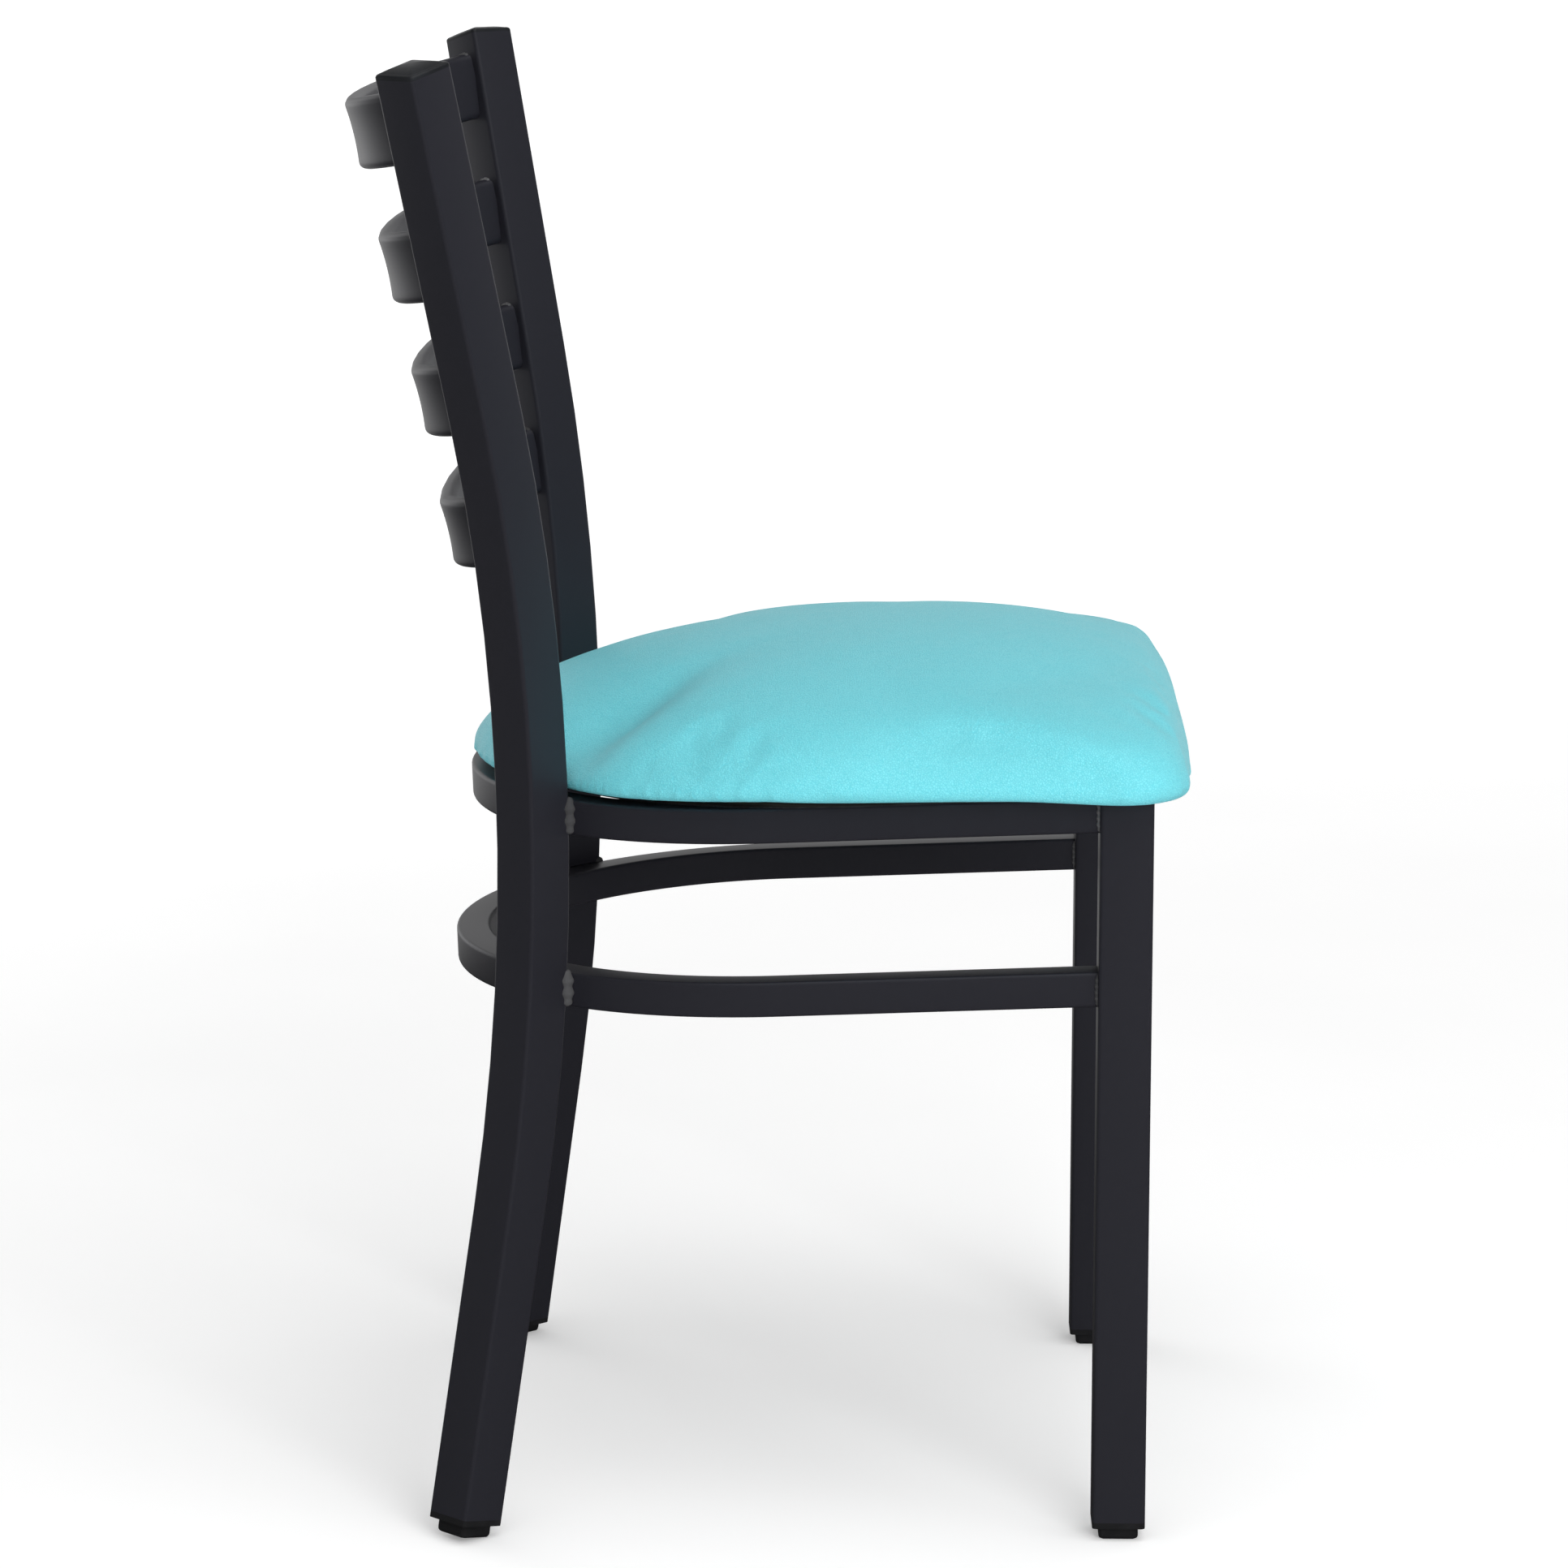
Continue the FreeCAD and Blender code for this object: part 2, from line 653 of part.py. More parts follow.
# Each spot is a tab's outer end on the tube's middle line, with its outward direction
TAB_SPOTS = []
for sign in (-1, 1):
    turn = math.radians(sign * REAR_TAB_ANGLE)
    out = Vector(math.sin(turn), math.cos(turn), 0)
    TAB_SPOTS.append((Vector(out).multiply((HOOP_RADIUS + SEAT_SIDE_BEND) / 2), out))
for sign in (-1, 1):
    spot = Vector(sign * HOOP_RADIUS, -FRONT_TAB_SHARE * LEG_SETBACK, 0)
    TAB_SPOTS.append((spot, Vector(sign, 0, 0)))


def build_tab(spot, out, hole_point):
    """A rounded plate with a screw hole, cut off at the tube's inner wall."""
    length = TAB_REACH + RAIL_TUBE
    outline = Part.Face(bevelled_rectangle(length, TAB_WIDTH, TAB_BEVEL))
    outline.Placement = frame_at(spot - Vector(out).multiply(length / 2 - RAIL_TUBE / 2), Z_AXIS, out)
    hole = round_bar(SCREW_RADIUS + SCREW_CLEARANCE, hole_point, hole_point - Vector(0, 0, TAB_THICK))
    tab = tilted(outline.extrude(Vector(0, 0, -TAB_THICK)).cut(hole), SEAT_FRAME_TOP)
    pieces = tab.cut(seat_frame).Solids
    return min(pieces, key=lambda piece: piece.CenterOfMass.sub(HOOP_CENTRE).dot(out))


tabs = []
screws = []
inserts = []
for spot, out in TAB_SPOTS:
    hole_point = spot - Vector(out).multiply(RAIL_TUBE / 2 + TAB_REACH - TAB_HOLE_INSET)
    tabs.append(build_tab(spot, out, hole_point))
    tab_underside = hole_point - Vector(0, 0, TAB_THICK)
    head_low = tab_underside - Vector(0, 0, SCREW_HEAD_HEIGHT)
    head = upright_bar(SCREW_HEAD_RADIUS, SCREW_HEAD_HEIGHT, head_low)
    shank = upright_bar(SCREW_RADIUS, TAB_THICK + DUST_COVER_THICK + SCREW_GRIP, tab_underside)
    screws.append(head.fuse(shank).removeSplitter())
    insert_top = hole_point + Vector(0, 0, BOARD_TOP)
    flange_low = insert_top - Vector(0, 0, INSERT_FLANGE_THICK)
    flange = upright_bar(INSERT_FLANGE_RADIUS, INSERT_FLANGE_THICK, flange_low)
    barrel = upright_bar(INSERT_RADIUS, INSERT_LENGTH, insert_top - Vector(0, 0, INSERT_LENGTH))
    insert = flange.fuse(barrel).removeSplitter()
    clear_hole = upright_bar(SCREW_RADIUS + SCREW_CLEARANCE, BOARD_TOP, hole_point)
    board = board.cut(tilted(insert.fuse(clear_hole), SEAT_FRAME_TOP))
    dust_cover = dust_cover.cut(tilted(clear_hole, SEAT_FRAME_TOP))
    inserts.append(insert.cut(upright_bar(SCREW_RADIUS, BOARD_TOP, hole_point)))

save("seat_cover", seated(build_cover()))
save("seat_foam", foam)
save("seat_board", board)
save("seat_dust_cover", dust_cover)
TAB_NAMES = ("rear_right", "rear_left", "front_right", "front_left")
for name, tab in zip(TAB_NAMES, tabs):
    save("seat_tab_" + name, tab)
save("seat_screws", tilted(Part.makeCompound(screws), SEAT_FRAME_TOP))
save("board_inserts", tilted(Part.makeCompound(inserts), SEAT_FRAME_TOP))


def bead(start, end, radius, *bodies):
    """A weld bead: a round bar along a corner, less the tubes that it joins."""
    bar = round_bar(radius, start, end, BEAD_SIDES)
    for body in bodies:
        bar = max(bar.cut(body).Solids, key=lambda solid: solid.Volume)
    return bar


def hoop_beads(hoop, top):
    """Upright beads beside both posts, and along the sides of both hoop ends at the legs."""
    rise = Vector(0, 0, RAIL_TUBE / 2 - BEAD_SHORT)
    middle = plane_height(top, HOOP_Y + HOOP_RADIUS * POST_OUT.y) - RAIL_TUBE / 2
    face = post_centre(middle) - Vector(POST_OUT).multiply(LEG_TUBE / 2)
    leg_middle = plane_height(top, LEG_Y + LEG_TUBE / 2) - RAIL_TUBE / 2
    beads = []
    for sign in (-1, 1):
        corner = face + Vector(POST_SIDE).multiply(sign * (LEG_TUBE / 2 - BEAD_INSET))
        beads.append(bead(corner - rise, corner + rise, POST_BEAD_RADIUS, post_body, hoop))
        corner = Vector(HOOP_RADIUS + sign * RAIL_TUBE / 2, LEG_Y + LEG_TUBE / 2, leg_middle)
        beads.append(bead(corner - rise, corner + rise, LEG_BEAD_RADIUS, leg_body, hoop))
    return beads + [mirrored(piece) for piece in beads]


save("seat_frame_welds", Part.makeCompound(hoop_beads(seat_frame, SEAT_FRAME_TOP)))
save("stretcher_welds", Part.makeCompound(hoop_beads(stretcher, STRETCHER_TOP)))
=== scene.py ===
"""Dresses the ladderback side chair: painted tube, plastic ends, weld beads and a grained seat pad."""

import math

import bpy
import numpy as np
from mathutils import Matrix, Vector


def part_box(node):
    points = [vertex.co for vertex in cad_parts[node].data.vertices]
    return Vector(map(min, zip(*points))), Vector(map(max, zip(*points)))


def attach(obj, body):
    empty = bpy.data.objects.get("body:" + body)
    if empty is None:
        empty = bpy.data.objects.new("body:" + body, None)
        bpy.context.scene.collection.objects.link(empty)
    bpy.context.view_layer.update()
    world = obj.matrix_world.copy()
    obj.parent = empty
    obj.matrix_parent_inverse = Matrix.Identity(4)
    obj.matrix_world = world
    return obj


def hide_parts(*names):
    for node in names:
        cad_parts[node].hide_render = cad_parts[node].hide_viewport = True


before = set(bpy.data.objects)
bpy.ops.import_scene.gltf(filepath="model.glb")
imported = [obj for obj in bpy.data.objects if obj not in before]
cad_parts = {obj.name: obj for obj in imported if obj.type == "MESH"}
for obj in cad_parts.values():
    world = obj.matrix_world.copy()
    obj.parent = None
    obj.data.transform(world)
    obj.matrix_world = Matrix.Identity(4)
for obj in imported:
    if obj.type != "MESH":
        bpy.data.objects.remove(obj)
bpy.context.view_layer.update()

bl_info = {
    "name": "Ladderback chair",
    "version": (1, 0, 0),
    "blender": (4, 5, 0),
    "location": "3D View > Sidebar > Chair",
    "description": "Builds the visible pieces of a ladderback side chair round its frame",
    "category": "Object",
}

BODY = "root"
FORWARD = np.array((0.0, -1.0, 0.0))
RIGHT = np.array((1.0, 0.0, 0.0))
UP = np.array((0.0, 0.0, 1.0))

# Steps along a path: metres on a straight run, radians on a bend
RUN_STEP = 0.030
BEND_STEP = math.radians(2.5)
CORNER_STEPS = 6
SMOOTH_LIMIT = math.radians(35)


def length(name, description, default):
    """A size in metres that the user can change."""
    return bpy.props.FloatProperty(
        name=name, description=description, default=default, precision=4,
        subtype="DISTANCE", unit="LENGTH",
    )


def angle(name, description, degrees):
    """An angle that the user can change, given in degrees and kept in radians."""
    return bpy.props.FloatProperty(
        name=name, description=description, default=math.radians(degrees),
        subtype="ANGLE", unit="ROTATION",
    )


def amount(name, description, default, largest=1.0):
    """A plain number from zero up."""
    return bpy.props.FloatProperty(
        name=name, description=description, default=default, min=0.0, max=largest,
    )


def colour(name, description, default):
    """A colour in linear light."""
    return bpy.props.FloatVectorProperty(
        name=name, description=description, default=default, size=3, min=0.0, max=1.0,
        subtype="COLOR",
    )


class ChairFrameSizes(bpy.types.PropertyGroup):
    """Sizes of the welded tube frame."""

    post_tube: length("Post tube", "Width of the square tube of posts and legs", 0.030)
    post_corner: length("Post corner", "Corner radius of that tube", 0.0024)
    rail_tube: length("Rail tube", "Width of the square tube of the two horseshoes", 0.020)
    rail_corner: length("Rail corner", "Corner radius of that tube", 0.0022)
    hoop_radius: length("Hoop half width", "From the middle plane to the side tubes", 0.1895)
    hoop_y: length("Hoop middle", "Where the horseshoes' middle lies along Y", -0.01157)
    seat_side_bend: length("Seat frame bend", "Side bend radius of the seat frame", 0.1565)
    stretcher_side_bend: length("Stretcher bend", "Side bend radius of the stretcher", 0.181)
    rear_bend_half: angle("Rear arc", "Half of the flatter arc at the rear", 38.0)
    leg_setback: length("Leg setback", "From the hoops' middle to the front legs", 0.1732)
    frame_tilt: angle("Frame tilt", "How far both horseshoes fall towards the rear", 2.1)
    seat_frame_top: length("Seat frame top", "Height of the seat frame's top", 0.4224)
    stretcher_top: length("Stretcher top", "Height of the stretcher's top", 0.3235)
    post_angle: angle("Post angle", "Where the posts stand round the rear", 47.85)
    post_bend_radius: length("Post bend", "Radius of the posts' bend", 0.970)
    post_bend_height: length("Post bend height", "Height of the middle of that bend", 0.386)
    post_kick: angle("Post kick", "How far the posts' feet splay", 12.0)
    post_rake: angle("Post rake", "How far the posts' tops lean out", 15.0)
    post_top: length("Post top", "Height of the posts' upper ends", 0.8273)
    post_foot: length("Post foot", "Height of the posts' lower ends", 0.01249)
    leg_foot: length("Leg foot", "Height of the front legs' lower ends", 0.011)


class ChairSlatSizes(bpy.types.PropertyGroup):
    """Sizes of the four bowed slats."""

    height: length("Height", "Height of a slat", 0.040)
    thick: length("Thickness", "Thickness of a slat at its flared edges", 0.0105)
    edge: length("Edge radius", "Radius of a slat's rounded edges", 0.0044)
    hollow: length("Hollow", "How far the rear face is dished between its edges", 0.0011)
    drop: length("First drop", "From the posts' ends to the top slat's middle", 0.0293)
    pitch: length("Pitch", "From one slat to the next", 0.07567)
    lean: angle("Lean", "How far the slats' plane leans back", 13.0)
    middle_radius: length("Middle radius", "Radius of the shallow middle curve", 1.2)
    middle_share: amount("Middle share", "Share of the width that is shallow", 0.655)
    shift: length("Shift", "How far the slats sit inwards of the posts' middle", 0.004)


class ChairPadSizes(bpy.types.PropertyGroup):
    """Sizes of the seat pad."""

    lift: length("Lift", "From the seat frame's top to the pad's rim", 0.0066)
    crown: length("Crown", "Height of the pad from rim to crown", 0.0672)
    tilt: angle("Tilt", "How far the pad's rim falls towards the rear", 0.6)
    half_width: length("Half width", "Half of the pad's width", 0.2260)
    rear: length("Rear", "From the hoops' middle to the pad's rear", 0.1910)
    front: length("Front", "From the hoops' middle to the pad's front", 0.2260)
    corner: length("Corner", "Radius of the front corners in plan, at the rim", 0.038)
    corner_growth: amount("Corner growth", "How much rounder the corners get further in", 1.25, 5.0)
    side_draw: length("Side draw", "How far the straight sides draw in", 0.002)
    front_bow: length("Front bow", "How far the front bows out", 0.005)
    dip_angle: angle("Dip angle", "Where the pad dips in beside the posts", 41.2)
    dip_half: angle("Dip width", "Half width of that dip", 6.8)
    shrink: length("Shrink", "How much smaller the pad starts before it swells", 0.0024)
    voxel: length("Voxel", "Size of the remesh before the cloth is simulated", 0.0045)
    travel: length("Travel", "How far the cloth may swell", 0.0035)
    valley: length("Valley", "Depth of the pull towards each post", 0.0120)
    side_sag: length("Side sag", "How far the rim sags beside the frame", 0.0010)
    front_sag: length("Front sag", "How far the rim sags further ahead of the legs", 0.0025)
    rear_sag: length("Rear sag", "How far the rim sags over the lower rear of the frame", 0.0060)
    board_rise: length("Board rise", "Height of the board's top above the seat frame", 0.0126)
    board_margin: length("Board margin", "How far the board stays inside the rim", 0.0174)


class ChairColours(bpy.types.PropertyGroup):
    """Colours of the finishes."""

    paint: colour("Paint", "Powder coat of the tube", (0.0018, 0.0021, 0.0032))
    paint_worn: colour("Paint, worn", "Powder coat where it is rubbed", (0.0038, 0.0042, 0.0055))
    bead: colour("Weld beads", "Paint that lies thin over the weld beads", (0.120, 0.120, 0.124))
    cap: colour("Caps", "Plastic of the post caps", (0.010, 0.011, 0.013))
    glide: colour("Glides", "Plastic of the foot glides", (0.010, 0.010, 0.011))
    vinyl: colour("Vinyl", "Cover of the seat pad", (0.185, 0.665, 0.740))
    # The deeper vinyl colour is painted shade in the pores of the grain
    vinyl_pore_shade: colour("Vinyl, deep", "Cover in the pores of its grain", (0.120, 0.565, 0.650))
    ply: colour("Board", "Stained edge of the seat board", (0.0070, 0.0055, 0.0045))
    ply_light: colour("Board, light", "Light bands of the seat board", (0.020, 0.015, 0.011))
    cloth: colour("Dust cloth", "Thin cloth under the board", (0.010, 0.010, 0.011))
    zinc: colour("Zinc", "Plating of screws and inserts", (0.52, 0.53, 0.55))
    floor: colour("Floor", "Floor and backdrop", (0.92, 0.92, 0.92))


class ChairStage(bpy.types.PropertyGroup):
    """Camera, lamps, floor and world."""

    camera_place: bpy.props.FloatVectorProperty(
        name="Camera place", description="Where the camera stands",
        default=(-3.0009, -0.0706, 0.9665), subtype="TRANSLATION", unit="LENGTH",
    )
    camera_aim: bpy.props.FloatVectorProperty(
        name="Camera aim", description="The direction that the camera looks in",
        default=(0.9823, 0.0213, -0.1860), subtype="DIRECTION",
    )
    lens: bpy.props.FloatProperty(
        name="Lens", description="Focal length on a 36 mm sensor", default=118.3,
        subtype="DISTANCE_CAMERA",
    )
    floor_half: length("Floor half", "Half of the floor's side", 60.0)
    ambient: amount("Ambient", "Brightness of the world on dull surfaces", 0.55)
    flank: amount("Flanks", "Brightness of the studio's sides in gloss", 0.04)
    far_side: amount("Far side", "Brightness of the studio's far side in gloss", 0.85)
    floor_glow: amount("Floor glow", "Light that the far floor adds where it is seen", 0.66)
    near_glow: amount("Near glow", "Light that the floor by the chair adds where it is seen", 0.20)
    far_box: amount("Far softbox", "Brightness of the softbox beyond the chair's rear", 1.2, 50.0)
    top_box: amount("Top softbox", "Brightness of the softbox above the chair", 1.5, 50.0)
    near_box: amount("Near softbox", "Brightness of the softbox beside the camera", 6.5, 50.0)


# Points, paths and meshes


def flat_direction(turn):
    """A level direction at an angle from +Y towards +X."""
    return np.array((math.sin(turn), math.cos(turn), 0.0))


def turned_about_x(points, turn):
    """Points turned about the X axis: Y and Z mix by the cosine and sine of the angle."""
    cosine, sine = math.cos(turn), math.sin(turn)
    x, y, z = points[..., 0], points[..., 1], points[..., 2]
    return np.stack([x, y * cosine - z * sine, y * sine + z * cosine], axis=-1)


def mirrored(points):
    """The same points on the other side of the chair, in the order that keeps faces outward."""
    return points[:, ::-1] * np.array((-1.0, 1.0, 1.0))


def rounded_outline(width, depth, radius, longest=1.0):
    """Points round a rectangle whose corners are quarter circles.

    Each corner is its centre plus the radius times (cos t, sin t) over its quarter turn, and
    the straight sides are divided until no step is longer than the limit.
    """
    corner = np.repeat(np.arange(4), CORNER_STEPS + 1)
    turn = corner * math.pi / 2 + np.tile(np.linspace(0, math.pi / 2, CORNER_STEPS + 1), 4)
    centres = np.array(((1, 1), (-1, 1), (-1, -1), (1, -1)))[corner]
    centres = centres * np.array((width / 2 - radius, depth / 2 - radius))
    outline = centres + radius * np.stack([np.cos(turn), np.sin(turn)], axis=1)
    ends = np.roll(outline, -1, axis=0)
    counts = np.ceil(np.linalg.norm(ends - outline, axis=1) / longest).astype(int)
    counts = np.maximum(counts, 1)
    first = np.repeat(np.cumsum(counts) - counts, counts)
    share = (np.arange(counts.sum()) - first) / np.repeat(counts, counts)
    start = np.repeat(outline, counts, axis=0)
    return start + (np.repeat(ends, counts, axis=0) - start) * share[:, None]


def bent_path(start, along, towards, steps):
    """Points along runs and bends in one plane, with the unit vector towards the bends' side.

    A run is the start plus a distance along the direction. A bend of radius R is its centre
    plus R times (sin t along minus cos t towards), while t grows from nought to its angle.
    """
    points, normals = [np.array([start])], [np.array([towards])]
    for kind, *sizes in steps:
        here = points[-1][-1]
        if kind == "run":
            count = max(1, math.ceil(sizes[0] / RUN_STEP))
            reach = np.linspace(0, sizes[0], count + 1)[1:, None]
            points.append(here + reach * along)
            normals.append(np.repeat([towards], count, axis=0))
            continue
        radius, turn = sizes
        t = np.linspace(0, turn, max(2, math.ceil(turn / BEND_STEP)) + 1)[1:, None]
        points.append(here + radius * towards + radius * (np.sin(t) * along - np.cos(t) * towards))
        normals.append(np.cos(t) * towards - np.sin(t) * along)
        along = math.cos(turn) * along + math.sin(turn) * towards
        towards = normals[-1][-1]
    return np.concatenate(points), np.concatenate(normals)


def carried(outline, points, normals, side, scale=1.0):
    """An outline carried along a path, as a grid of points.

    Each grid point is the path's point, plus the outline's x times the normal there, plus its
    y times the side direction, both times the scale.
    """
    scale = np.broadcast_to(np.asarray(scale, float).reshape(-1, 1, 1), (len(points), 1, 1))
    across = outline[None, :, :1] * normals[:, None]
    return points[:, None] + scale * (across + outline[None, :, 1:] * side)


def swept(outline, start, along, towards, steps):
    """An outline carried along runs and bends: its x is towards the bends, its y square to both."""
    points, normals = bent_path(start, along, towards, steps)
    return carried(outline, points, normals, np.cross(along, towards))


def grid_faces(rows, columns, first=0):
    """Four-sided faces of a grid whose columns close into a ring, and its two end faces."""
    index = first + np.arange(rows * columns).reshape(rows, columns)
    after = np.roll(index, -1, axis=1)
    quads = np.stack([index[:-1], after[:-1], after[1:], index[1:]], axis=-1).reshape(-1, 4)
    return quads.tolist() + [index[0, ::-1].tolist(), index[-1].tolist()]


def placed(name, data):
    """A new object in the scene for a mesh, a lamp or a camera."""
    thing = bpy.data.objects.new(name, data)
    bpy.context.scene.collection.objects.link(thing)
    return thing


def piece_from_grids(name, grids, material, replaces=(), sharp=True):
    """A mesh object from closed grids, which rides on the frame with a finish."""
    vertices, faces = [], []
    for grid in grids:
        faces += grid_faces(grid.shape[0], grid.shape[1], sum(len(part) for part in vertices))
        vertices.append(grid.reshape(-1, 3))
    mesh = bpy.data.meshes.new(name)
    mesh.from_pydata(np.concatenate(vertices).tolist(), [], faces)
    mesh.shade_smooth()
    if sharp:
        mesh.set_sharp_from_angle(angle=SMOOTH_LIMIT)
    mesh.materials.append(material)
    piece = placed(name, mesh)
    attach(piece, BODY)
    if replaces:
        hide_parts(*replaces)
    return piece


# Where the frame's pieces stand


def post_directions(sizes):
    """The level directions outwards through the left post and along its inner face."""
    out = flat_direction(sizes.post_angle)
    return out, np.cross(out, UP)


def bend_ends(sizes):
    """Heights of the lower and the upper end of the posts' bend.

    Each is the bend's middle, less or plus its radius times the sine of the lean there.
    """
    radius, middle = sizes.post_bend_radius, sizes.post_bend_height
    return middle - radius * math.sin(sizes.post_kick), middle + radius * math.sin(sizes.post_rake)


def post_centre(sizes, z):
    """The left post's middle point at a height.

    It lies out from the hoops' middle by the post's distance, plus what the bend (a circle) and
    the straight ends (a slope) add there.
    """
    radius = sizes.post_bend_radius
    low, high = bend_ends(sizes)
    reach = min(max(z, low), high) - sizes.post_bend_height
    offset = radius - math.sqrt(radius ** 2 - reach ** 2)
    offset += max(low - z, 0) * math.tan(sizes.post_kick)
    offset += max(z - high, 0) * math.tan(sizes.post_rake)
    distance = sizes.hoop_radius + (sizes.rail_tube + sizes.post_tube) / 2
    out = post_directions(sizes)[0]
    return np.array((0.0, sizes.hoop_y, z)) + out * (distance + offset)


def post_direction(sizes, lean):
    """The left post's upward direction in a straight end: out by the lean's sine, up by its cosine."""
    return math.sin(lean) * post_directions(sizes)[0] + math.cos(lean) * UP


def plane_height(sizes, top, y):
    """Height of a tilted horseshoe's top: it falls by the tilt's tangent times the way to the rear."""
    return top - math.tan(sizes.frame_tilt) * (y - sizes.hoop_y)


def leg_y(sizes):
    """Where the front legs stand along Y: ahead of the hoops by the setback and half a tube."""
    return sizes.hoop_y - sizes.leg_setback - sizes.post_tube / 2


def post_outline(sizes):
    """The rounded square of the posts and legs, and of what closes their ends."""
    return rounded_outline(sizes.post_tube, sizes.post_tube, sizes.post_corner)


def post_grid(sizes):
    """The left post: a rounded square carried along a run, one long bend and a run."""
    low, high = bend_ends(sizes)
    along = post_direction(sizes, -sizes.post_kick)
    towards = np.cross(along, post_directions(sizes)[1])
    steps = (
        ("run", (low - sizes.post_foot) / math.cos(sizes.post_kick)),
        ("bend", sizes.post_bend_radius, sizes.post_kick + sizes.post_rake),
        ("run", (sizes.post_top - high) / math.cos(sizes.post_rake)),
    )
    return swept(post_outline(sizes), post_centre(sizes, sizes.post_foot), along, towards, steps)


def leg_grid(sizes):
    """The left front leg: a rounded square carried straight up to the seat frame."""
    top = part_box("front_leg_left")[1][2]
    start = np.array((sizes.hoop_radius, leg_y(sizes), sizes.leg_foot))
    return swept(post_outline(sizes), start, UP, RIGHT, [("run", top - sizes.leg_foot)])


def hoop_grid(sizes, top, side_bend):
    """A horseshoe: a rounded square carried along a run, three tangent arcs and a run.

    The rear arc's radius makes the arcs tangent: the side radius plus what is left of the half
    width, over the sine of half the rear arc. The arcs start where the side arc then meets the
    post, at the height beside the tube where the post stands furthest in. All is tilted about X.
    """
    out = post_directions(sizes)[0]
    outside = sizes.hoop_radius + sizes.rail_tube / 2
    upper = plane_height(sizes, top, sizes.hoop_y + outside * out[1])
    nearest = min(max(sizes.post_bend_height, upper - sizes.rail_tube), upper)
    at_post = np.linalg.norm(post_centre(sizes, nearest) - (0, sizes.hoop_y, nearest))
    reach = at_post - (sizes.rail_tube + sizes.post_tube) / 2
    spare = sizes.hoop_radius - side_bend
    rear_bend = side_bend + spare / math.sin(sizes.rear_bend_half)
    bend_start = (reach - side_bend - spare * out[0]) / out[1]
    run = ("run", sizes.leg_setback + bend_start)
    side_arc = ("bend", side_bend, math.pi / 2 - sizes.rear_bend_half)
    rear_arc = ("bend", rear_bend, 2 * sizes.rear_bend_half)
    start = np.array((sizes.hoop_radius, bend_start - run[1], -sizes.rail_tube / 2))
    outline = rounded_outline(sizes.rail_tube, sizes.rail_tube, sizes.rail_corner)
    grid = swept(outline, start, -FORWARD, -RIGHT, (run, side_arc, rear_arc, side_arc, run))
    return turned_about_x(grid, -sizes.frame_tilt) + (0, sizes.hoop_y, top)


SLAT_NODES = ("slat_top", "slat_upper", "slat_lower", "slat_bottom")

# A slat's longest step round its section, in metres, how much of its rear's hollow its front has,
# and how far its ends go into the posts
SLAT_STEP = 0.003
FRONT_DISH = 0.35
SLAT_TUCK = 0.001


def slat_height(sizes, slats, place):
    """The height of a slat's middle: the posts' top, less the first drop and a pitch for each above."""
    return sizes.post_top - slats.drop - place * slats.pitch


def slat_frame(sizes, slats, height):
    """Where a slat's middle line meets the left post, its inward direction and its front side.

    Both directions lie in the slats' leaning plane. The inward one is as square to the post's side
    face as that plane lets it be: its turn's tangent is the post angle's times the lean's cosine.
    """
    out, side = post_directions(sizes)
    end = post_centre(sizes, height) - side * sizes.post_tube / 2 - out * slats.shift
    turn = math.atan(math.tan(sizes.post_angle) * math.cos(slats.lean))
    rear = np.array((0.0, math.cos(slats.lean), -math.sin(slats.lean)))
    inwards = -math.cos(turn) * RIGHT + math.sin(turn) * rear
    forwards = -math.sin(turn) * RIGHT - math.cos(turn) * rear
    return end, inwards, forwards


def slat_outline(slats):
    """A slat's section: a flat rounded bar, dished by a parabola, and by a share of it in front."""
    outline = rounded_outline(slats.thick, slats.height, slats.edge, longest=SLAT_STEP)
    share = 1 - (outline[:, 1] / (slats.height / 2 - slats.edge / 2)) ** 2
    dish = slats.hollow * np.clip(share, 0, None)
    outline[:, 0] += np.where(outline[:, 0] < 0, dish, -FRONT_DISH * dish)
    return outline


def slat_grid(sizes, slats, height):
    """One slat: its section carried along a tight, a shallow and a tight arc.

    The end arcs take what turn the shallow middle leaves, so that both ends meet the posts'
    faces squarely. Their radius is the width that is left over the difference of the two sines.
    """
    end, inwards, forwards = slat_frame(sizes, slats, height)
    middle_half = slats.middle_share * end[0]
    middle_turn = math.asin(middle_half / slats.middle_radius)
    end_angle = math.acos(-inwards[0])
    end_radius = (end[0] - middle_half) / (math.sin(end_angle) - math.sin(middle_turn))
    tuck = ("run", SLAT_TUCK)
    end_arc = ("bend", end_radius, end_angle - middle_turn)
    middle_arc = ("bend", slats.middle_radius, 2 * middle_turn)
    steps = (tuck, end_arc, middle_arc, end_arc, tuck)
    return swept(slat_outline(slats), end - inwards * SLAT_TUCK, inwards, forwards, steps)


# A weld bead's mean size, how much it swells and thins, and where in a ripple it starts, then its
# steps along a ripple and round the bead, and the least value under the root that rounds its tips
BEAD_MEAN = 0.90
BEAD_SWELL = 0.14
BEAD_PHASE = 0.7
BEAD_STEPS = 8
BEAD_SIDES = 16
BEAD_TIP = 0.02

# How much of a bead's line may run sideways before its circle is started from the front instead
BEAD_SIDEWAYS = 0.7


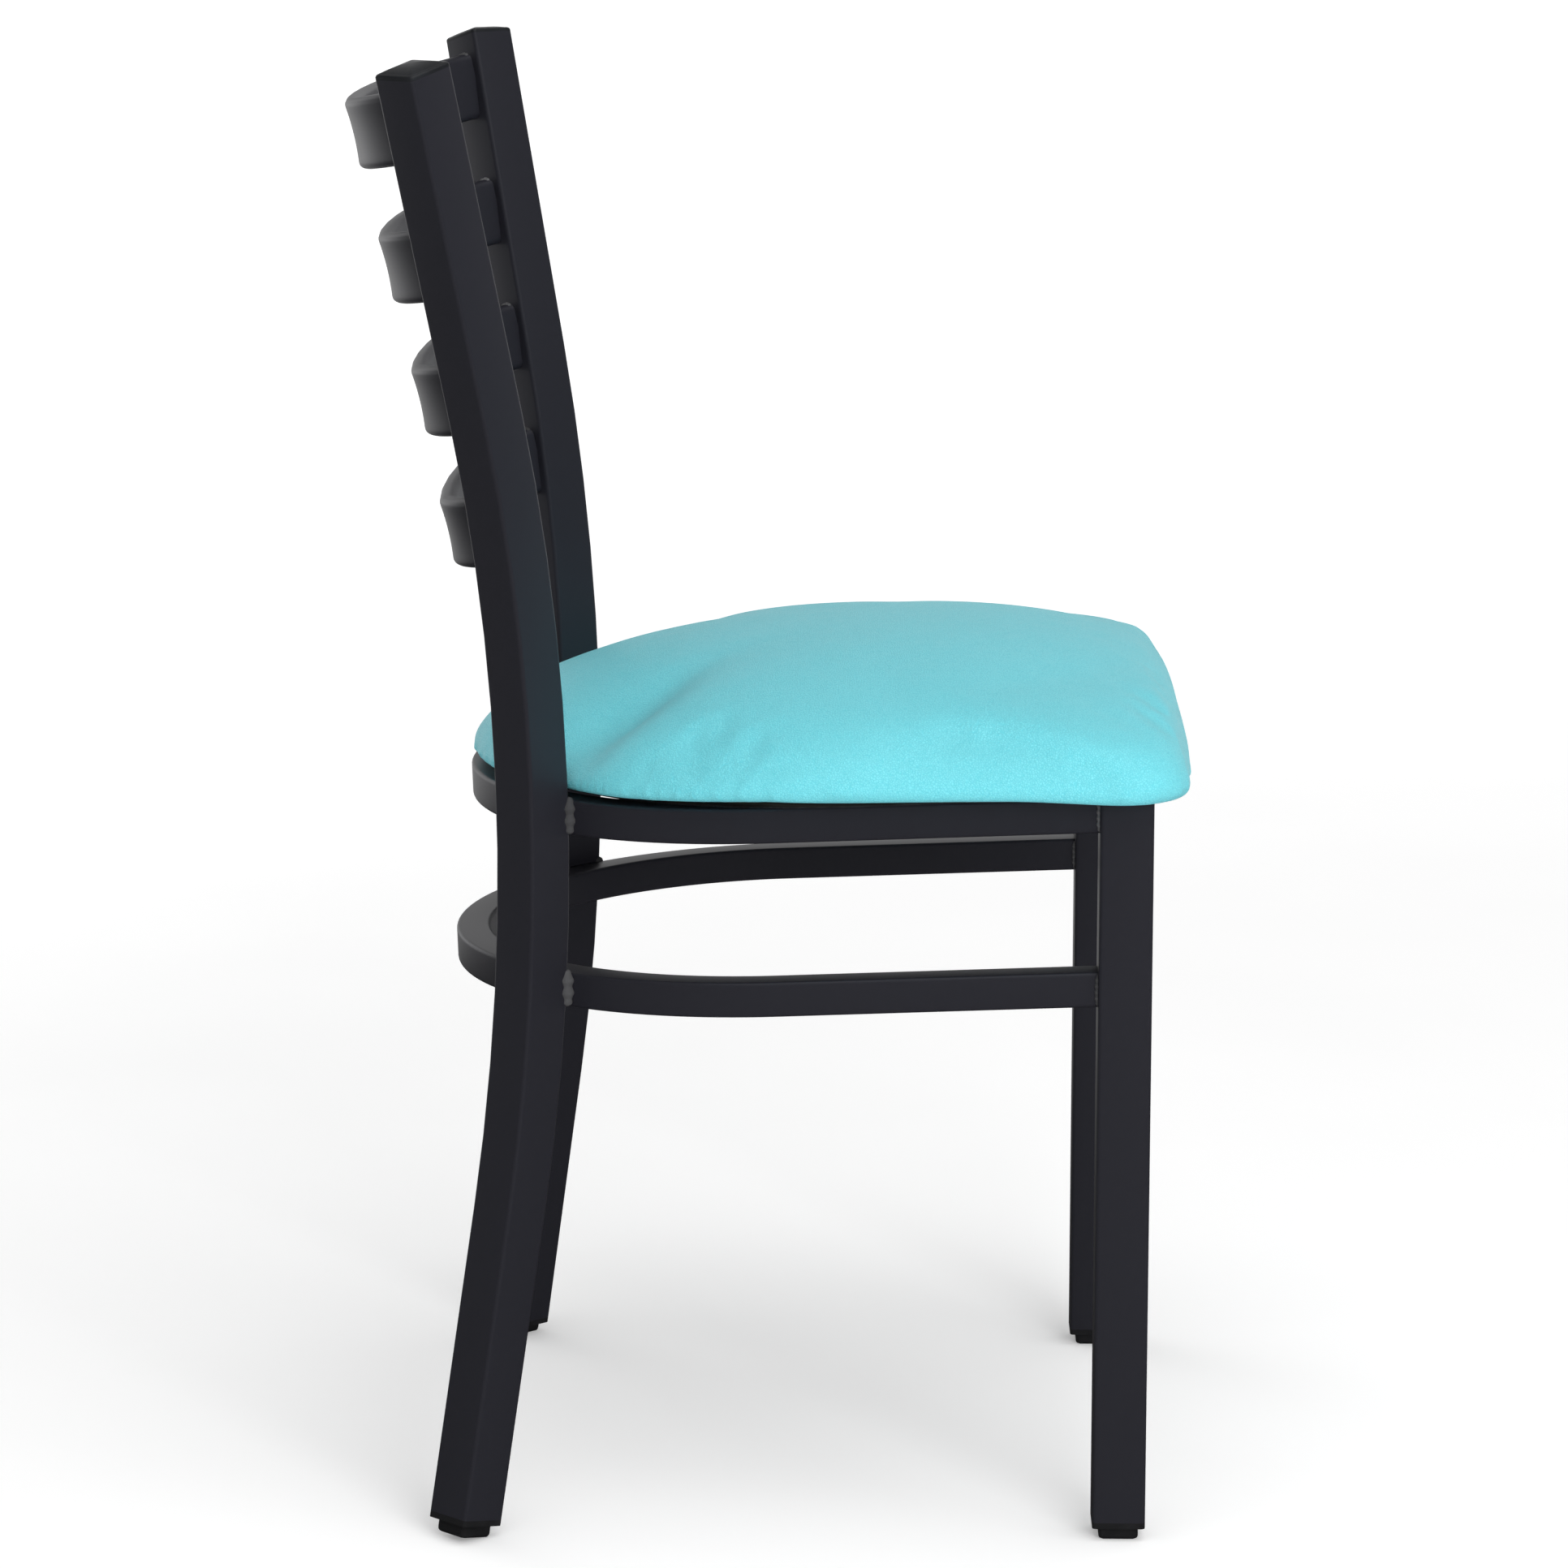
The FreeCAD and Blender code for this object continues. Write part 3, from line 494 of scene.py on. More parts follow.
def bead_grid(start, end, radius, ripples):
    """A weld bead: a circle carried along a line, swelling and thinning as the weld ripples.

    Its radius is the bead's own, times a rounded end (the square root of one minus the fourth
    power of the distance from the middle), times the mean size plus a small sine for the ripples.
    """
    share = np.linspace(0, 1, BEAD_STEPS * ripples + 1)
    ends = np.sqrt(np.clip(1 - (2 * share - 1) ** 4, BEAD_TIP, 1))
    scale = ends * (BEAD_MEAN + BEAD_SWELL * np.sin(2 * math.pi * ripples * share + BEAD_PHASE))
    turn = np.linspace(0, 2 * math.pi, BEAD_SIDES + 1)[:-1]
    outline = radius * np.stack([np.cos(turn), np.sin(turn)], axis=1)
    along = (end - start) / np.linalg.norm(end - start)
    normal = np.cross(along, RIGHT if abs(along[0]) < BEAD_SIDEWAYS else FORWARD)
    normal /= np.linalg.norm(normal)
    points = start + share[:, None] * (end - start)
    normals = np.repeat([normal], len(points), axis=0)
    return carried(outline, points, normals, np.cross(along, normal), scale)


# Materials


def new_material(name):
    """An empty node material with its shader, output and object coordinates."""
    material = bpy.data.materials.new(name)
    material.use_nodes = True
    tree = material.node_tree
    tree.nodes.clear()
    shader = tree.nodes.new("ShaderNodeBsdfPrincipled")
    output = tree.nodes.new("ShaderNodeOutputMaterial")
    tree.links.new(shader.outputs["BSDF"], output.inputs["Surface"])
    place = tree.nodes.new("ShaderNodeTexCoord").outputs["Object"]
    return material, tree, shader, place


def feed(tree, node, inputs):
    """Set a node's inputs by name: a socket is linked, and anything else is the input's value."""
    for name, value in inputs.items():
        if isinstance(value, bpy.types.NodeSocket):
            tree.links.new(value, node.inputs[name])
        else:
            node.inputs[name].default_value = value


def add_node(tree, kind, inputs, **settings):
    """A shader node with its settings and inputs."""
    node = tree.nodes.new("ShaderNode" + kind)
    for key, value in settings.items():
        setattr(node, key, value)
    feed(tree, node, inputs)
    return node


def two_tone(tree, factor, dark, light, low=0.35, high=0.65):
    """A ramp from one colour to another as a factor goes from low to high."""
    node = add_node(tree, "ValToRGB", {"Fac": factor})
    first, last = node.color_ramp.elements
    first.position, last.position = low, high
    first.color, last.color = (*dark, 1.0), (*light, 1.0)
    return node.outputs["Color"]


def spread(tree, value, low, high):
    """A value from nought to one spread between two numbers."""
    inputs = {"Value": value, "To Min": low, "To Max": high}
    return add_node(tree, "MapRange", inputs).outputs["Result"]


def noise(tree, place, scale, detail=2.0, roughness=0.5):
    """Noise whose lumps are one over the scale across, in metres."""
    inputs = {"Vector": place, "Scale": scale, "Detail": detail, "Roughness": roughness}
    return add_node(tree, "TexNoise", inputs).outputs["Fac"]


def eased_node(tree, value, low, high, start=0.0, end=1.0):
    """A value eased from a start to an end as it goes from low to high."""
    inputs = {"Value": value, "From Min": low, "From Max": high, "To Min": start, "To Max": end}
    return add_node(tree, "MapRange", inputs, interpolation_type="SMOOTHSTEP").outputs["Result"]


def set_bump(tree, shader, layers):
    """Stack height layers on the shader's normal: each is height, strength and depth in metres."""
    normal = None
    for height, strength, distance in layers:
        inputs = {"Height": height, "Strength": strength, "Distance": distance}
        if normal is not None:
            inputs["Normal"] = normal
        normal = add_node(tree, "Bump", inputs).outputs["Normal"]
    tree.links.new(normal, shader.inputs["Normal"])


def paint_material(name, base, worn):
    """Black powder coat: a fine orange peel, faint flecks and uneven gloss."""
    material, tree, shader, place = new_material(name)
    patches = noise(tree, place, scale=9.0, detail=3.0)
    handling = noise(tree, place, scale=35.0, detail=4.0)
    feed(tree, shader, {
        "Base Color": two_tone(tree, patches, base, worn, low=0.40, high=0.80),
        "Roughness": spread(tree, handling, low=0.40, high=0.56),
        "Specular IOR Level": 0.10,
        "Specular Tint": (0.78, 0.85, 1.0, 1.0),
    })
    peel = noise(tree, place, scale=260.0)
    flecks = noise(tree, place, scale=1500.0, roughness=0.6)
    set_bump(tree, shader, ((peel, 0.10, 0.0006), (flecks, 0.22, 0.00012)))
    return material


def plastic_material(name, base, roughness, grain):
    """Moulded black plastic with paler patches, uneven gloss and a faint grain."""
    material, tree, shader, place = new_material(name)
    patches = noise(tree, place, scale=60.0, detail=3.0)
    paler = tuple(min(1.0, part * 1.7) for part in base)
    gloss = noise(tree, place, scale=140.0, detail=3.0)
    feed(tree, shader, {
        "Base Color": two_tone(tree, patches, base, paler, low=0.40, high=0.80),
        "Roughness": spread(tree, gloss, low=roughness - 0.06, high=roughness + 0.08),
        "Specular IOR Level": 0.32,
    })
    pits = noise(tree, place, scale=1100.0, detail=3.0, roughness=0.6)
    set_bump(tree, shader, ((pits, grain, 0.00015),))
    return material


def vinyl_material(colours):
    """Grained seat vinyl: small pebbled cells with pores between them, over soft creases.

    Coordinates moved a little by noise go into cells. A cell's height is eased up from nought at
    its edge, and times a slow change of tone it is also the share of the lighter colour, so the deeper
    colour in the pores is painted shade.
    """
    material, tree, shader, place = new_material("seat_vinyl")
    drift = add_node(tree, "TexNoise", {"Vector": place, "Scale": 420.0, "Detail": 2.0})
    furthest = (0.0011, 0.0011, 0.0011)
    moved = add_node(
        tree, "VectorMath", {0: drift.outputs["Color"], 1: furthest, 2: place}, operation="MULTIPLY_ADD",
    ).outputs["Vector"]
    edge = add_node(
        tree, "TexVoronoi", {"Vector": moved, "Scale": 780.0}, feature="DISTANCE_TO_EDGE",
    ).outputs["Distance"]
    pebble_and_pore_shade = eased_node(tree, edge, low=0.0, high=0.22)
    tone = spread(tree, noise(tree, place, scale=14.0, detail=3.0), low=0.55, high=1.0)
    # Painted shade in the pores: the cell height times a random tone picks the colour, darker between
    # the cells
    mixed = add_node(tree, "Math", {0: pebble_and_pore_shade, 1: tone}, operation="MULTIPLY").outputs["Value"]
    gloss = noise(tree, place, scale=90.0, detail=4.0)
    feed(tree, shader, {
        "Base Color": two_tone(tree, mixed, colours.vinyl_pore_shade, colours.vinyl, low=0.0, high=0.75),
        "Roughness": spread(tree, gloss, low=0.40, high=0.54),
        "Specular IOR Level": 0.38,
        "Sheen Weight": 0.06,
        "Sheen Roughness": 0.4,
    })
    creases = noise(tree, place, scale=55.0, detail=3.0)
    pores = noise(tree, place, scale=330.0, detail=3.0, roughness=0.6)
    set_bump(tree, shader, ((creases, 0.22, 0.0012), (pores, 0.30, 0.0004), (pebble_and_pore_shade, 0.70, 0.00030)))
    return material


def board_material(colours):
    """Dark stained plywood: thin level plies, with long fibres along Y."""
    material, tree, shader, place = new_material("seat_board")
    bands = {"Vector": place, "Scale": 110.0, "Distortion": 0.6, "Detail": 2.0}
    plies = add_node(tree, "TexWave", bands, bands_direction="Z").outputs["Fac"]
    drawn_out = {"Vector": place, "Scale": (420.0, 14.0, 420.0)}
    grain = add_node(tree, "Mapping", drawn_out).outputs["Vector"]
    fibres = noise(tree, grain, scale=1.0, detail=4.0)
    both = add_node(tree, "Math", {0: plies, 1: fibres}, operation="MULTIPLY").outputs["Value"]
    feed(tree, shader, {
        "Base Color": two_tone(tree, both, colours.ply, colours.ply_light, low=0.2, high=0.6),
        "Roughness": 0.72,
    })
    set_bump(tree, shader, ((fibres, 0.25, 0.0003),))
    return material


def dust_cloth_material(colours):
    """Thin black woven cloth: crossing threads, of which the higher one shows in painted light, with
    painted shade between them.
    """
    material, tree, shader, place = new_material("dust_cloth")
    threads = {"Vector": place, "Scale": 320.0, "Distortion": 0.4, "Detail": 1.0}
    warp, weft = (
        add_node(tree, "TexWave", threads, bands_direction=direction).outputs["Fac"]
        for direction in ("X", "Y")
    )
    weave_height_and_shade = add_node(tree, "Math", {0: warp, 1: weft}, operation="MAXIMUM").outputs["Value"]
    # Painted light on the higher threads and painted shade between them, taken from the weave's height
    light = tuple(part * 2.5 for part in colours.cloth)
    feed(tree, shader, {
        "Base Color": two_tone(tree, weave_height_and_shade, colours.cloth, light, low=0.3, high=0.9),
        "Roughness": 0.9,
    })
    set_bump(tree, shader, ((weave_height_and_shade, 0.4, 0.0003),))
    return material


def zinc_material(colours):
    """Zinc plate: bright metal with cloudy, uneven gloss."""
    material, tree, shader, place = new_material("zinc_steel")
    cloud = noise(tree, place, scale=120.0, detail=4.0)
    dark = tuple(part * 0.72 for part in colours.zinc)
    feed(tree, shader, {
        "Base Color": two_tone(tree, cloud, dark, colours.zinc, low=0.3, high=0.7),
        "Roughness": spread(tree, cloud, low=0.30, high=0.48),
        "Metallic": 1.0,
    })
    crystals = noise(tree, place, scale=900.0)
    set_bump(tree, shader, ((crystals, 0.12, 0.0001),))
    return material


def paint(scene):
    """The frame's paint, made the first time that it is asked for."""
    name, colours = "frame_paint", scene.chair_colours
    return bpy.data.materials.get(name) or paint_material(name, colours.paint, colours.paint_worn)


def dress(nodes, material):
    """Give CAD nodes that keep their own shape a material."""
    for name in nodes:
        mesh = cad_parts[name].data
        mesh.materials.clear()
        mesh.materials.append(material)


# The seat pad

# Each row is a share of the pad's height, how far the side, rear and front draw in there, and
# how deep the pad dips in beside each post, in metres
PAD_ROWS = np.array((
    (0.00, 0.0050, 0.0040, 0.0050, 0.0015),
    (0.03, 0.0022, 0.0016, 0.0022, 0.0030),
    (0.08, 0.0006, 0.0005, 0.0006, 0.0045),
    (0.20, 0.0003, 0.0050, 0.0000, 0.0055),
    (0.35, 0.0070, 0.0180, 0.0015, 0.0085),
    (0.50, 0.0240, 0.0390, 0.0030, 0.0110),
    (0.65, 0.0520, 0.0640, 0.0115, 0.0120),
    (0.80, 0.0910, 0.0970, 0.0370, 0.0090),
    (0.92, 0.1370, 0.1500, 0.0720, 0.0040),
    (0.985, 0.1850, 0.2230, 0.1090, 0.0010),
    (1.00, 0.2257, 0.2750, 0.1417, 0.0000),
))
PAD_ROWS_BETWEEN = 5

# Points along each part of the pad's plan: the rear arc, the side, the corner and the front, and
# the corner's largest share of the room for it
ARC_POINTS, SIDE_POINTS, CORNER_POINTS, FRONT_POINTS = 60, 16, 18, 20
LARGEST_CORNER = 0.85

# The recess: how far its ceiling's middle draws in from the side, rear and front, how far the
# underside draws in below the rim, and the gap above the board, in metres
CEILING_MIDDLE = (0.2256, 0.2750, 0.1417)
UNDERSIDE_INSET = 0.006
BOARD_GAP = 0.0006

# Cloth: pressure, bending stiffness, steps in a frame and frames, and the height above the rim,
# in metres, below which it is held
COVER_PRESSURE = 4.0
COVER_STIFFNESS = 6.0
COVER_QUALITY = 6
COVER_FRAMES = 20
HELD_BELOW = 0.003

# Heights above the rim, in metres, between which the swelling, the valleys and the sag are eased
SWELL_HEIGHTS = (0.002, 0.022)
VALLEY_HEIGHTS = (0.010, 0.034)
SAG_HEIGHTS = (0.004, 0.032)

# Where the rim's sag comes in, in metres: past the frame's outer side, and ahead of and behind
# the hoops' middle
SAG_OVERHANG = (0.000, 0.006)
SAG_AHEAD = (0.12, 0.20)
SAG_BEHIND = (-0.03, 0.13)

# A valley, in metres: its reach inwards, where it starts ahead of the post's middle and how it
# turns forwards, and its width at the post and growth, ahead and behind
VALLEY_REACH = 0.095
VALLEY_START, VALLEY_TURN = 0.002, 0.14
VALLEY_AHEAD = (0.017, 0.15)
VALLEY_BEHIND = (0.026, 0.42)

# The height at which the pad meets the post, the gap kept between them, how far past the post's
# edges it is kept, and how far outwards, in metres
PAD_AT_POST = 0.46
POST_GAP = 0.0010
POST_EDGE = 0.0015
POST_DEPTH = 0.030


def smooth_rows(rows, between):
    """Rows filled in by cubic curves through them, each with its neighbours' mean slope."""
    slope = np.gradient(rows, axis=0)
    at = np.linspace(0, len(rows) - 1, (len(rows) - 1) * between + 1)
    low = np.minimum(at.astype(int), len(rows) - 2)
    t = (at - low)[:, None]
    start, end = rows[low], rows[low + 1]
    left, right = slope[low], slope[low + 1]
    cubic = (2 * t ** 3 - 3 * t ** 2 + 1) * start + (t ** 3 - 2 * t ** 2 + t) * left
    return cubic + (3 * t ** 2 - 2 * t ** 3) * end + (t ** 3 - t ** 2) * right


def pad_outline(pad, insets):
    """The pad's plan for rows of insets, as points round it from the rear by the left.

    The rear is a circle through the sides, less a bell curve beside each post. The side is a
    line drawn in by half a sine, the corner a quarter circle and the front a shallow parabola.
    """
    side, rear, front, dip = (column[:, None] for column in insets.T)
    half = pad.half_width - side
    centre = pad.rear - rear - half
    ahead = -(pad.front - front)
    corner = pad.corner + pad.corner_growth * side
    corner = np.minimum(corner, LARGEST_CORNER * np.minimum(centre - ahead, half))
    turn = np.linspace(0, math.pi / 2, ARC_POINTS + 1)[None, :-1]
    reach = half - dip * np.exp(-((turn - pad.dip_angle) / pad.dip_half) ** 2)
    round_x, round_y = reach * np.sin(turn), centre + reach * np.cos(turn)
    share = np.linspace(0, 1, SIDE_POINTS + 1)[None, :-1]
    side_x = half - pad.side_draw * np.sin(math.pi * share) + 0 * centre
    side_y = centre + (ahead + corner - centre) * share
    turn = np.linspace(0, math.pi / 2, CORNER_POINTS + 1)[None, :-1]
    corner_x = half - corner + corner * np.cos(turn)
    corner_y = ahead + corner - corner * np.sin(turn)
    share = np.linspace(1, 0, FRONT_POINTS)[None]
    front_x = (half - corner) * share
    front_y = ahead - pad.front_bow * (1 - share ** 2) * half / pad.half_width
    x = np.concatenate([round_x, side_x, corner_x, front_x], axis=1)
    y = np.concatenate([round_y, side_y, corner_y, front_y], axis=1)
    x = np.concatenate([-x, x[:, -2:0:-1]], axis=1)
    return x, np.concatenate([y, y[:, -2:0:-1]], axis=1)


def pad_grid(pad, sizes):
    """The closed pad in its own level frame: the board's recess, the underside, then the crown.

    The crown's rows carry the outline up and inwards. Below it the rows run in under the rim,
    up the wall of the recess and across its ceiling, which leans as the board does.
    """
    rows = smooth_rows(PAD_ROWS, PAD_ROWS_BETWEEN)
    rows[:, 0] *= pad.crown
    rows[:, 1:4] += pad.shrink * eased(rows[:, :1], *SWELL_HEIGHTS)
    ceiling, wall_top, wall_foot, underside = rows[:1].repeat(4, axis=0)
    ceiling[1:4] = CEILING_MIDDLE
    wall_top[1:4] += pad.board_margin
    wall_foot[1:4] += pad.board_margin
    underside[1:4] += UNDERSIDE_INSET
    rows = np.concatenate([[ceiling, wall_top, wall_foot, underside], rows])
    x, y = pad_outline(pad, rows[:, 1:])
    z = np.repeat(rows[:, :1], x.shape[1], axis=1)
    lean = math.tan(sizes.frame_tilt - pad.tilt)
    z[:2] = pad.board_rise - pad.lift + BOARD_GAP - lean * y[:2]
    grid = turned_about_x(np.stack([x, y, z], axis=-1), -pad.tilt)
    return grid + (0, sizes.hoop_y, sizes.seat_frame_top + pad.lift)


def modifier_applied(piece, kind, **settings):
    """Add one modifier to a piece and apply it to its mesh."""
    modifier = piece.modifiers.new(kind.lower(), kind)
    for key, value in settings.items():
        setattr(modifier, key, value)
    graph = bpy.context.evaluated_depsgraph_get()
    mesh = bpy.data.meshes.new_from_object(piece.evaluated_get(graph))
    piece.modifiers.clear()
    old = piece.data
    piece.data = mesh
    bpy.data.meshes.remove(old)


def vertex_array(mesh, normals=False):
    """A mesh's vertex places as an array, or its vertex normals."""
    values = np.empty(len(mesh.vertices) * 3)
    if normals:
        mesh.vertex_normals.foreach_get("vector", values)
    else:
        mesh.vertices.foreach_get("co", values)
    return values.reshape(-1, 3)


def eased(value, low, high):
    """From nought at the low value to one at the high value, by three t squared less two t cubed."""
    t = np.clip((value - low) / (high - low), 0, 1)
    return t * t * (3 - 2 * t)


def swell(piece, pad, sizes):
    """Let the cover swell under pressure as cloth, held at its underside.

    Only the travel straight outwards is kept, so that no folds form. It is capped smoothly, at
    the limit times the hyperbolic tangent of the travel over the limit, and eased in at the rim.
    """
    rest, normals = vertex_array(piece.data), vertex_array(piece.data, normals=True)
    height = rest[:, 2] - sizes.seat_frame_top - pad.lift
    held = piece.vertex_groups.new(name="held")
    held.add(np.flatnonzero(height < HELD_BELOW).tolist(), 1.0, "REPLACE")
    cloth = piece.modifiers.new("cover", "CLOTH")
    cloth.settings.use_pressure = True
    cloth.settings.uniform_pressure_force = COVER_PRESSURE
    cloth.settings.vertex_group_mass = held.name
    cloth.settings.bending_stiffness = COVER_STIFFNESS
    cloth.settings.quality = COVER_QUALITY
    cloth.settings.effector_weights.gravity = 0.0
    cloth.point_cache.frame_start, cloth.point_cache.frame_end = 1, COVER_FRAMES
    for step in range(1, COVER_FRAMES + 1):
        bpy.context.scene.frame_set(step)
    graph = bpy.context.evaluated_depsgraph_get()
    swollen = vertex_array(piece.evaluated_get(graph).data)
    piece.modifiers.clear()
    bpy.context.scene.frame_set(1)
    outwards = np.sum((swollen - rest) * normals, axis=1)
    capped = pad.travel * np.tanh(outwards / pad.travel) * eased(height, *SWELL_HEIGHTS)
    piece.data.vertices.foreach_set("co", (rest + capped[:, None] * normals).ravel())
    piece.data.update()


def rim_sag(points, height, pad, sizes):
    """How far each point sags: where the rim overhangs the frame, and at the lower rear.

    The overhang is the distance past the frame's outer side, round the rear or ahead of the
    legs. Both sags are eased in over their ranges, the larger counts, and it dies away upwards.
    """
    round_rear = np.hypot(points[:, 0], np.clip(points[:, 1] - sizes.hoop_y, 0, None))
    ahead = sizes.hoop_y - sizes.leg_setback - sizes.post_tube - points[:, 1]
    overhang = np.maximum(round_rear - sizes.hoop_radius - sizes.rail_tube / 2, ahead)
    forwards = sizes.hoop_y - points[:, 1]
    sag = pad.side_sag + pad.front_sag * eased(forwards, *SAG_AHEAD)
    sag = np.maximum(sag * eased(overhang, *SAG_OVERHANG), pad.rear_sag * eased(-forwards, *SAG_BEHIND))
    return sag * (1 - eased(height, *SAG_HEIGHTS))


def pulled_to_posts(piece, pad, sizes):
    """Let the rim sag, draw a valley in the pad towards each post, and keep clear of the post.

    The valley's depth is a bell curve across it, steeper ahead than behind, which widens and
    dies away inwards. Points that would enter the post move back to just before its inner face.
    """
    points, normals = vertex_array(piece.data), vertex_array(piece.data, normals=True)
    height = points[:, 2] - sizes.seat_frame_top - pad.lift
    points[:, 2] -= rim_sag(points, height, pad, sizes)
    rise = eased(height, *VALLEY_HEIGHTS)
    for sign in (-1.0, 1.0):
        mirror = np.array((sign, 1.0, 1.0))
        out, side = (vector * mirror for vector in post_directions(sizes))
        face = post_centre(sizes, PAD_AT_POST) * mirror - out * sizes.post_tube / 2
        offset = (points - face) * (1, 1, 0)
        inwards, across = -(offset @ out), offset @ side
        reach = np.clip(inwards, 0, None)
        depth = pad.valley * np.exp(-(reach / VALLEY_REACH) ** 2) * rise
        skew = across - VALLEY_START - VALLEY_TURN * reach
        ahead, behind = (wide + growth * reach for wide, growth in (VALLEY_AHEAD, VALLEY_BEHIND))
        width = np.where(skew > 0, ahead, behind)
        points = points - (depth * np.exp(-(skew / width) ** 2))[:, None] * normals
        offset = (points - face) * (1, 1, 0)
        inwards, across = -(offset @ out), offset @ side
        beside = np.abs(across) < sizes.post_tube / 2 + POST_EDGE
        inside = beside & (inwards < POST_GAP) & (inwards > -POST_DEPTH)
        points = points - np.where(inside, POST_GAP - inwards, 0.0)[:, None] * out
    piece.data.vertices.foreach_set("co", points.ravel())
    piece.data.update()


# The scene


def aimed(thing, place, target):
    """Put a lamp or camera at a place and turn it to look at a target."""
    thing.location = place
    thing.rotation_euler = (Vector(target) - Vector(place)).to_track_quat("-Z", "Y").to_euler()


# Each softbox's place, its width and height, in metres, and whether it shows in gloss
SOFTBOXES = {
    "far": ((2.0, 2.1, 1.1), (1.5, 1.8), True),
    "top": ((-0.8, -0.5, 2.6), (2.2, 2.2), True),
    "near": ((-2.5, -0.95, 1.0), (1.3, 1.6), False),
}
CHAIR_MIDDLE = (0.0, 0.0, 0.45)
SENSOR_WIDTH = 36.0

# Where the studio turns from flank to far side, as X of a direction, and the floor's turns: from
# near to far glow and to the far side in gloss, in metres, with its brightness there
FAR_SIDE = (0.55, 0.95)
GLOW_TURN = (0.4, 5.0)
FAR_FLOOR = (0.6, 2.0)
FAR_FLOOR_GLOW = 0.9
FLOOR_IN_GLOSS = (0.05, 0.05, 0.05, 1.0)


def softbox(name, place, size, strength, glossy):
    """An area lamp whose power gives its face a set brightness: pi times the area times it."""
    width, height = size
    data = bpy.data.lights.new(name, "AREA")
    data.shape, data.size, data.size_y = "RECTANGLE", width, height
    data.energy = math.pi * width * height * strength
    lamp = placed(name, data)
    lamp.visible_glossy = glossy
    aimed(lamp, place, CHAIR_MIDDLE)


def ray_kind(tree, *kinds):
    """One for rays of the named kinds and nought for others."""
    path = tree.nodes.new("ShaderNodeLightPath")
    total = path.outputs[kinds[0]]
    for kind in kinds[1:]:
        inputs = {0: total, 1: path.outputs[kind]}
        total = add_node(tree, "Math", inputs, operation="MAXIMUM").outputs["Value"]
    return total


def chosen(tree, factor, otherwise, when):
    """One number where the factor is nought and another where it is one."""
    inputs = {"Factor": factor, 2: otherwise, 3: when}
    return add_node(tree, "Mix", inputs, data_type="FLOAT").outputs[0]


def build_world(stage):
    """A studio: white where the camera looks, and in gloss a bright far side with dark flanks.

    In gloss the brightness is eased from the flanks' to the far side's as the direction turns
    towards +X, and dull surfaces get one even brightness.
    """
    world = bpy.data.worlds.new("studio")
    world.use_nodes = True
    tree = world.node_tree
    tree.nodes.clear()
    direction = tree.nodes.new("ShaderNodeTexCoord").outputs["Generated"]
    parts = add_node(tree, "SeparateXYZ", {"Vector": direction}).outputs
    in_gloss = eased_node(tree, parts["X"], *FAR_SIDE, stage.flank, stage.far_side)
    strength = chosen(tree, ray_kind(tree, "Is Glossy Ray"), stage.ambient, in_gloss)
    strength = chosen(tree, ray_kind(tree, "Is Camera Ray", "Is Transmission Ray"), strength, 1.0)
    light = add_node(tree, "Background", {"Color": (1, 1, 1, 1), "Strength": strength})
    output = tree.nodes.new("ShaderNodeOutputWorld")
    tree.links.new(light.outputs["Background"], output.inputs["Surface"])
    bpy.context.scene.world = world


def build_floor(stage, shade):
    """A pale floor that shows white where nothing shades it: it glows a little when seen.

    The glow is eased from less near the chair, where the lamps add their own light, to more far
    off. In gloss the floor is dark, and its glow is kept to the far side.
    """
    material, tree, shader, place = new_material("studio_floor")
    dark = tuple(part * 0.985 for part in shade)
    pale = two_tone(tree, noise(tree, place, scale=3.0), dark, shade)
    glossy = ray_kind(tree, "Is Glossy Ray")
    seen = ray_kind(tree, "Is Camera Ray", "Is Transmission Ray")
    mixed = add_node(tree, "MixRGB", {"Fac": glossy, "Color1": pale, "Color2": FLOOR_IN_GLOSS})
    distance = add_node(tree, "VectorMath", {0: place}, operation="LENGTH").outputs["Value"]
    glow = eased_node(tree, distance, *GLOW_TURN, stage.near_glow, stage.floor_glow)
    parts = add_node(tree, "SeparateXYZ", {"Vector": place}).outputs
    far = eased_node(tree, parts["X"], *FAR_FLOOR, end=FAR_FLOOR_GLOW)
    feed(tree, shader, {
        "Base Color": mixed.outputs["Color"],
        "Roughness": 0.9,
        "Specular IOR Level": 0.0,
        "Emission Color": (1, 1, 1, 1),
        "Emission Strength": chosen(tree, seen, chosen(tree, glossy, 0.0, far), glow),
    })
    half = stage.floor_half
    mesh = bpy.data.meshes.new("studio_floor")
    corners = [(-half, -half, 0), (half, -half, 0), (half, half, 0), (-half, half, 0)]
    mesh.from_pydata(corners, [], [(0, 1, 2, 3)])
    mesh.materials.append(material)
    floor = placed("studio_floor", mesh)


class CHAIR_OT_stage(bpy.types.Operator):
    """Add the pale floor, the soft lamps, the world and the camera"""

    bl_idname = "chair.stage"
    bl_label = "Stage"

    def execute(self, context):
        """Build what isn't part of the chair: the camera looks from its place along its aim."""
        stage, colours = context.scene.chair_stage, context.scene.chair_colours
        context.scene.view_settings.view_transform = "Standard"
        build_world(stage)
        build_floor(stage, tuple(colours.floor))
        for name, (place, size, glossy) in SOFTBOXES.items():
            softbox(f"{name}_softbox", place, size, getattr(stage, f"{name}_box"), glossy)
        data = bpy.data.cameras.new("camera")
        data.sensor_width = SENSOR_WIDTH
        data.lens = stage.lens
        data.clip_end = 4 * stage.floor_half
        camera = placed("camera", data)
        place = Vector(stage.camera_place)
        aimed(camera, place, place + Vector(stage.camera_aim))
        context.scene.camera = camera
        return {"FINISHED"}


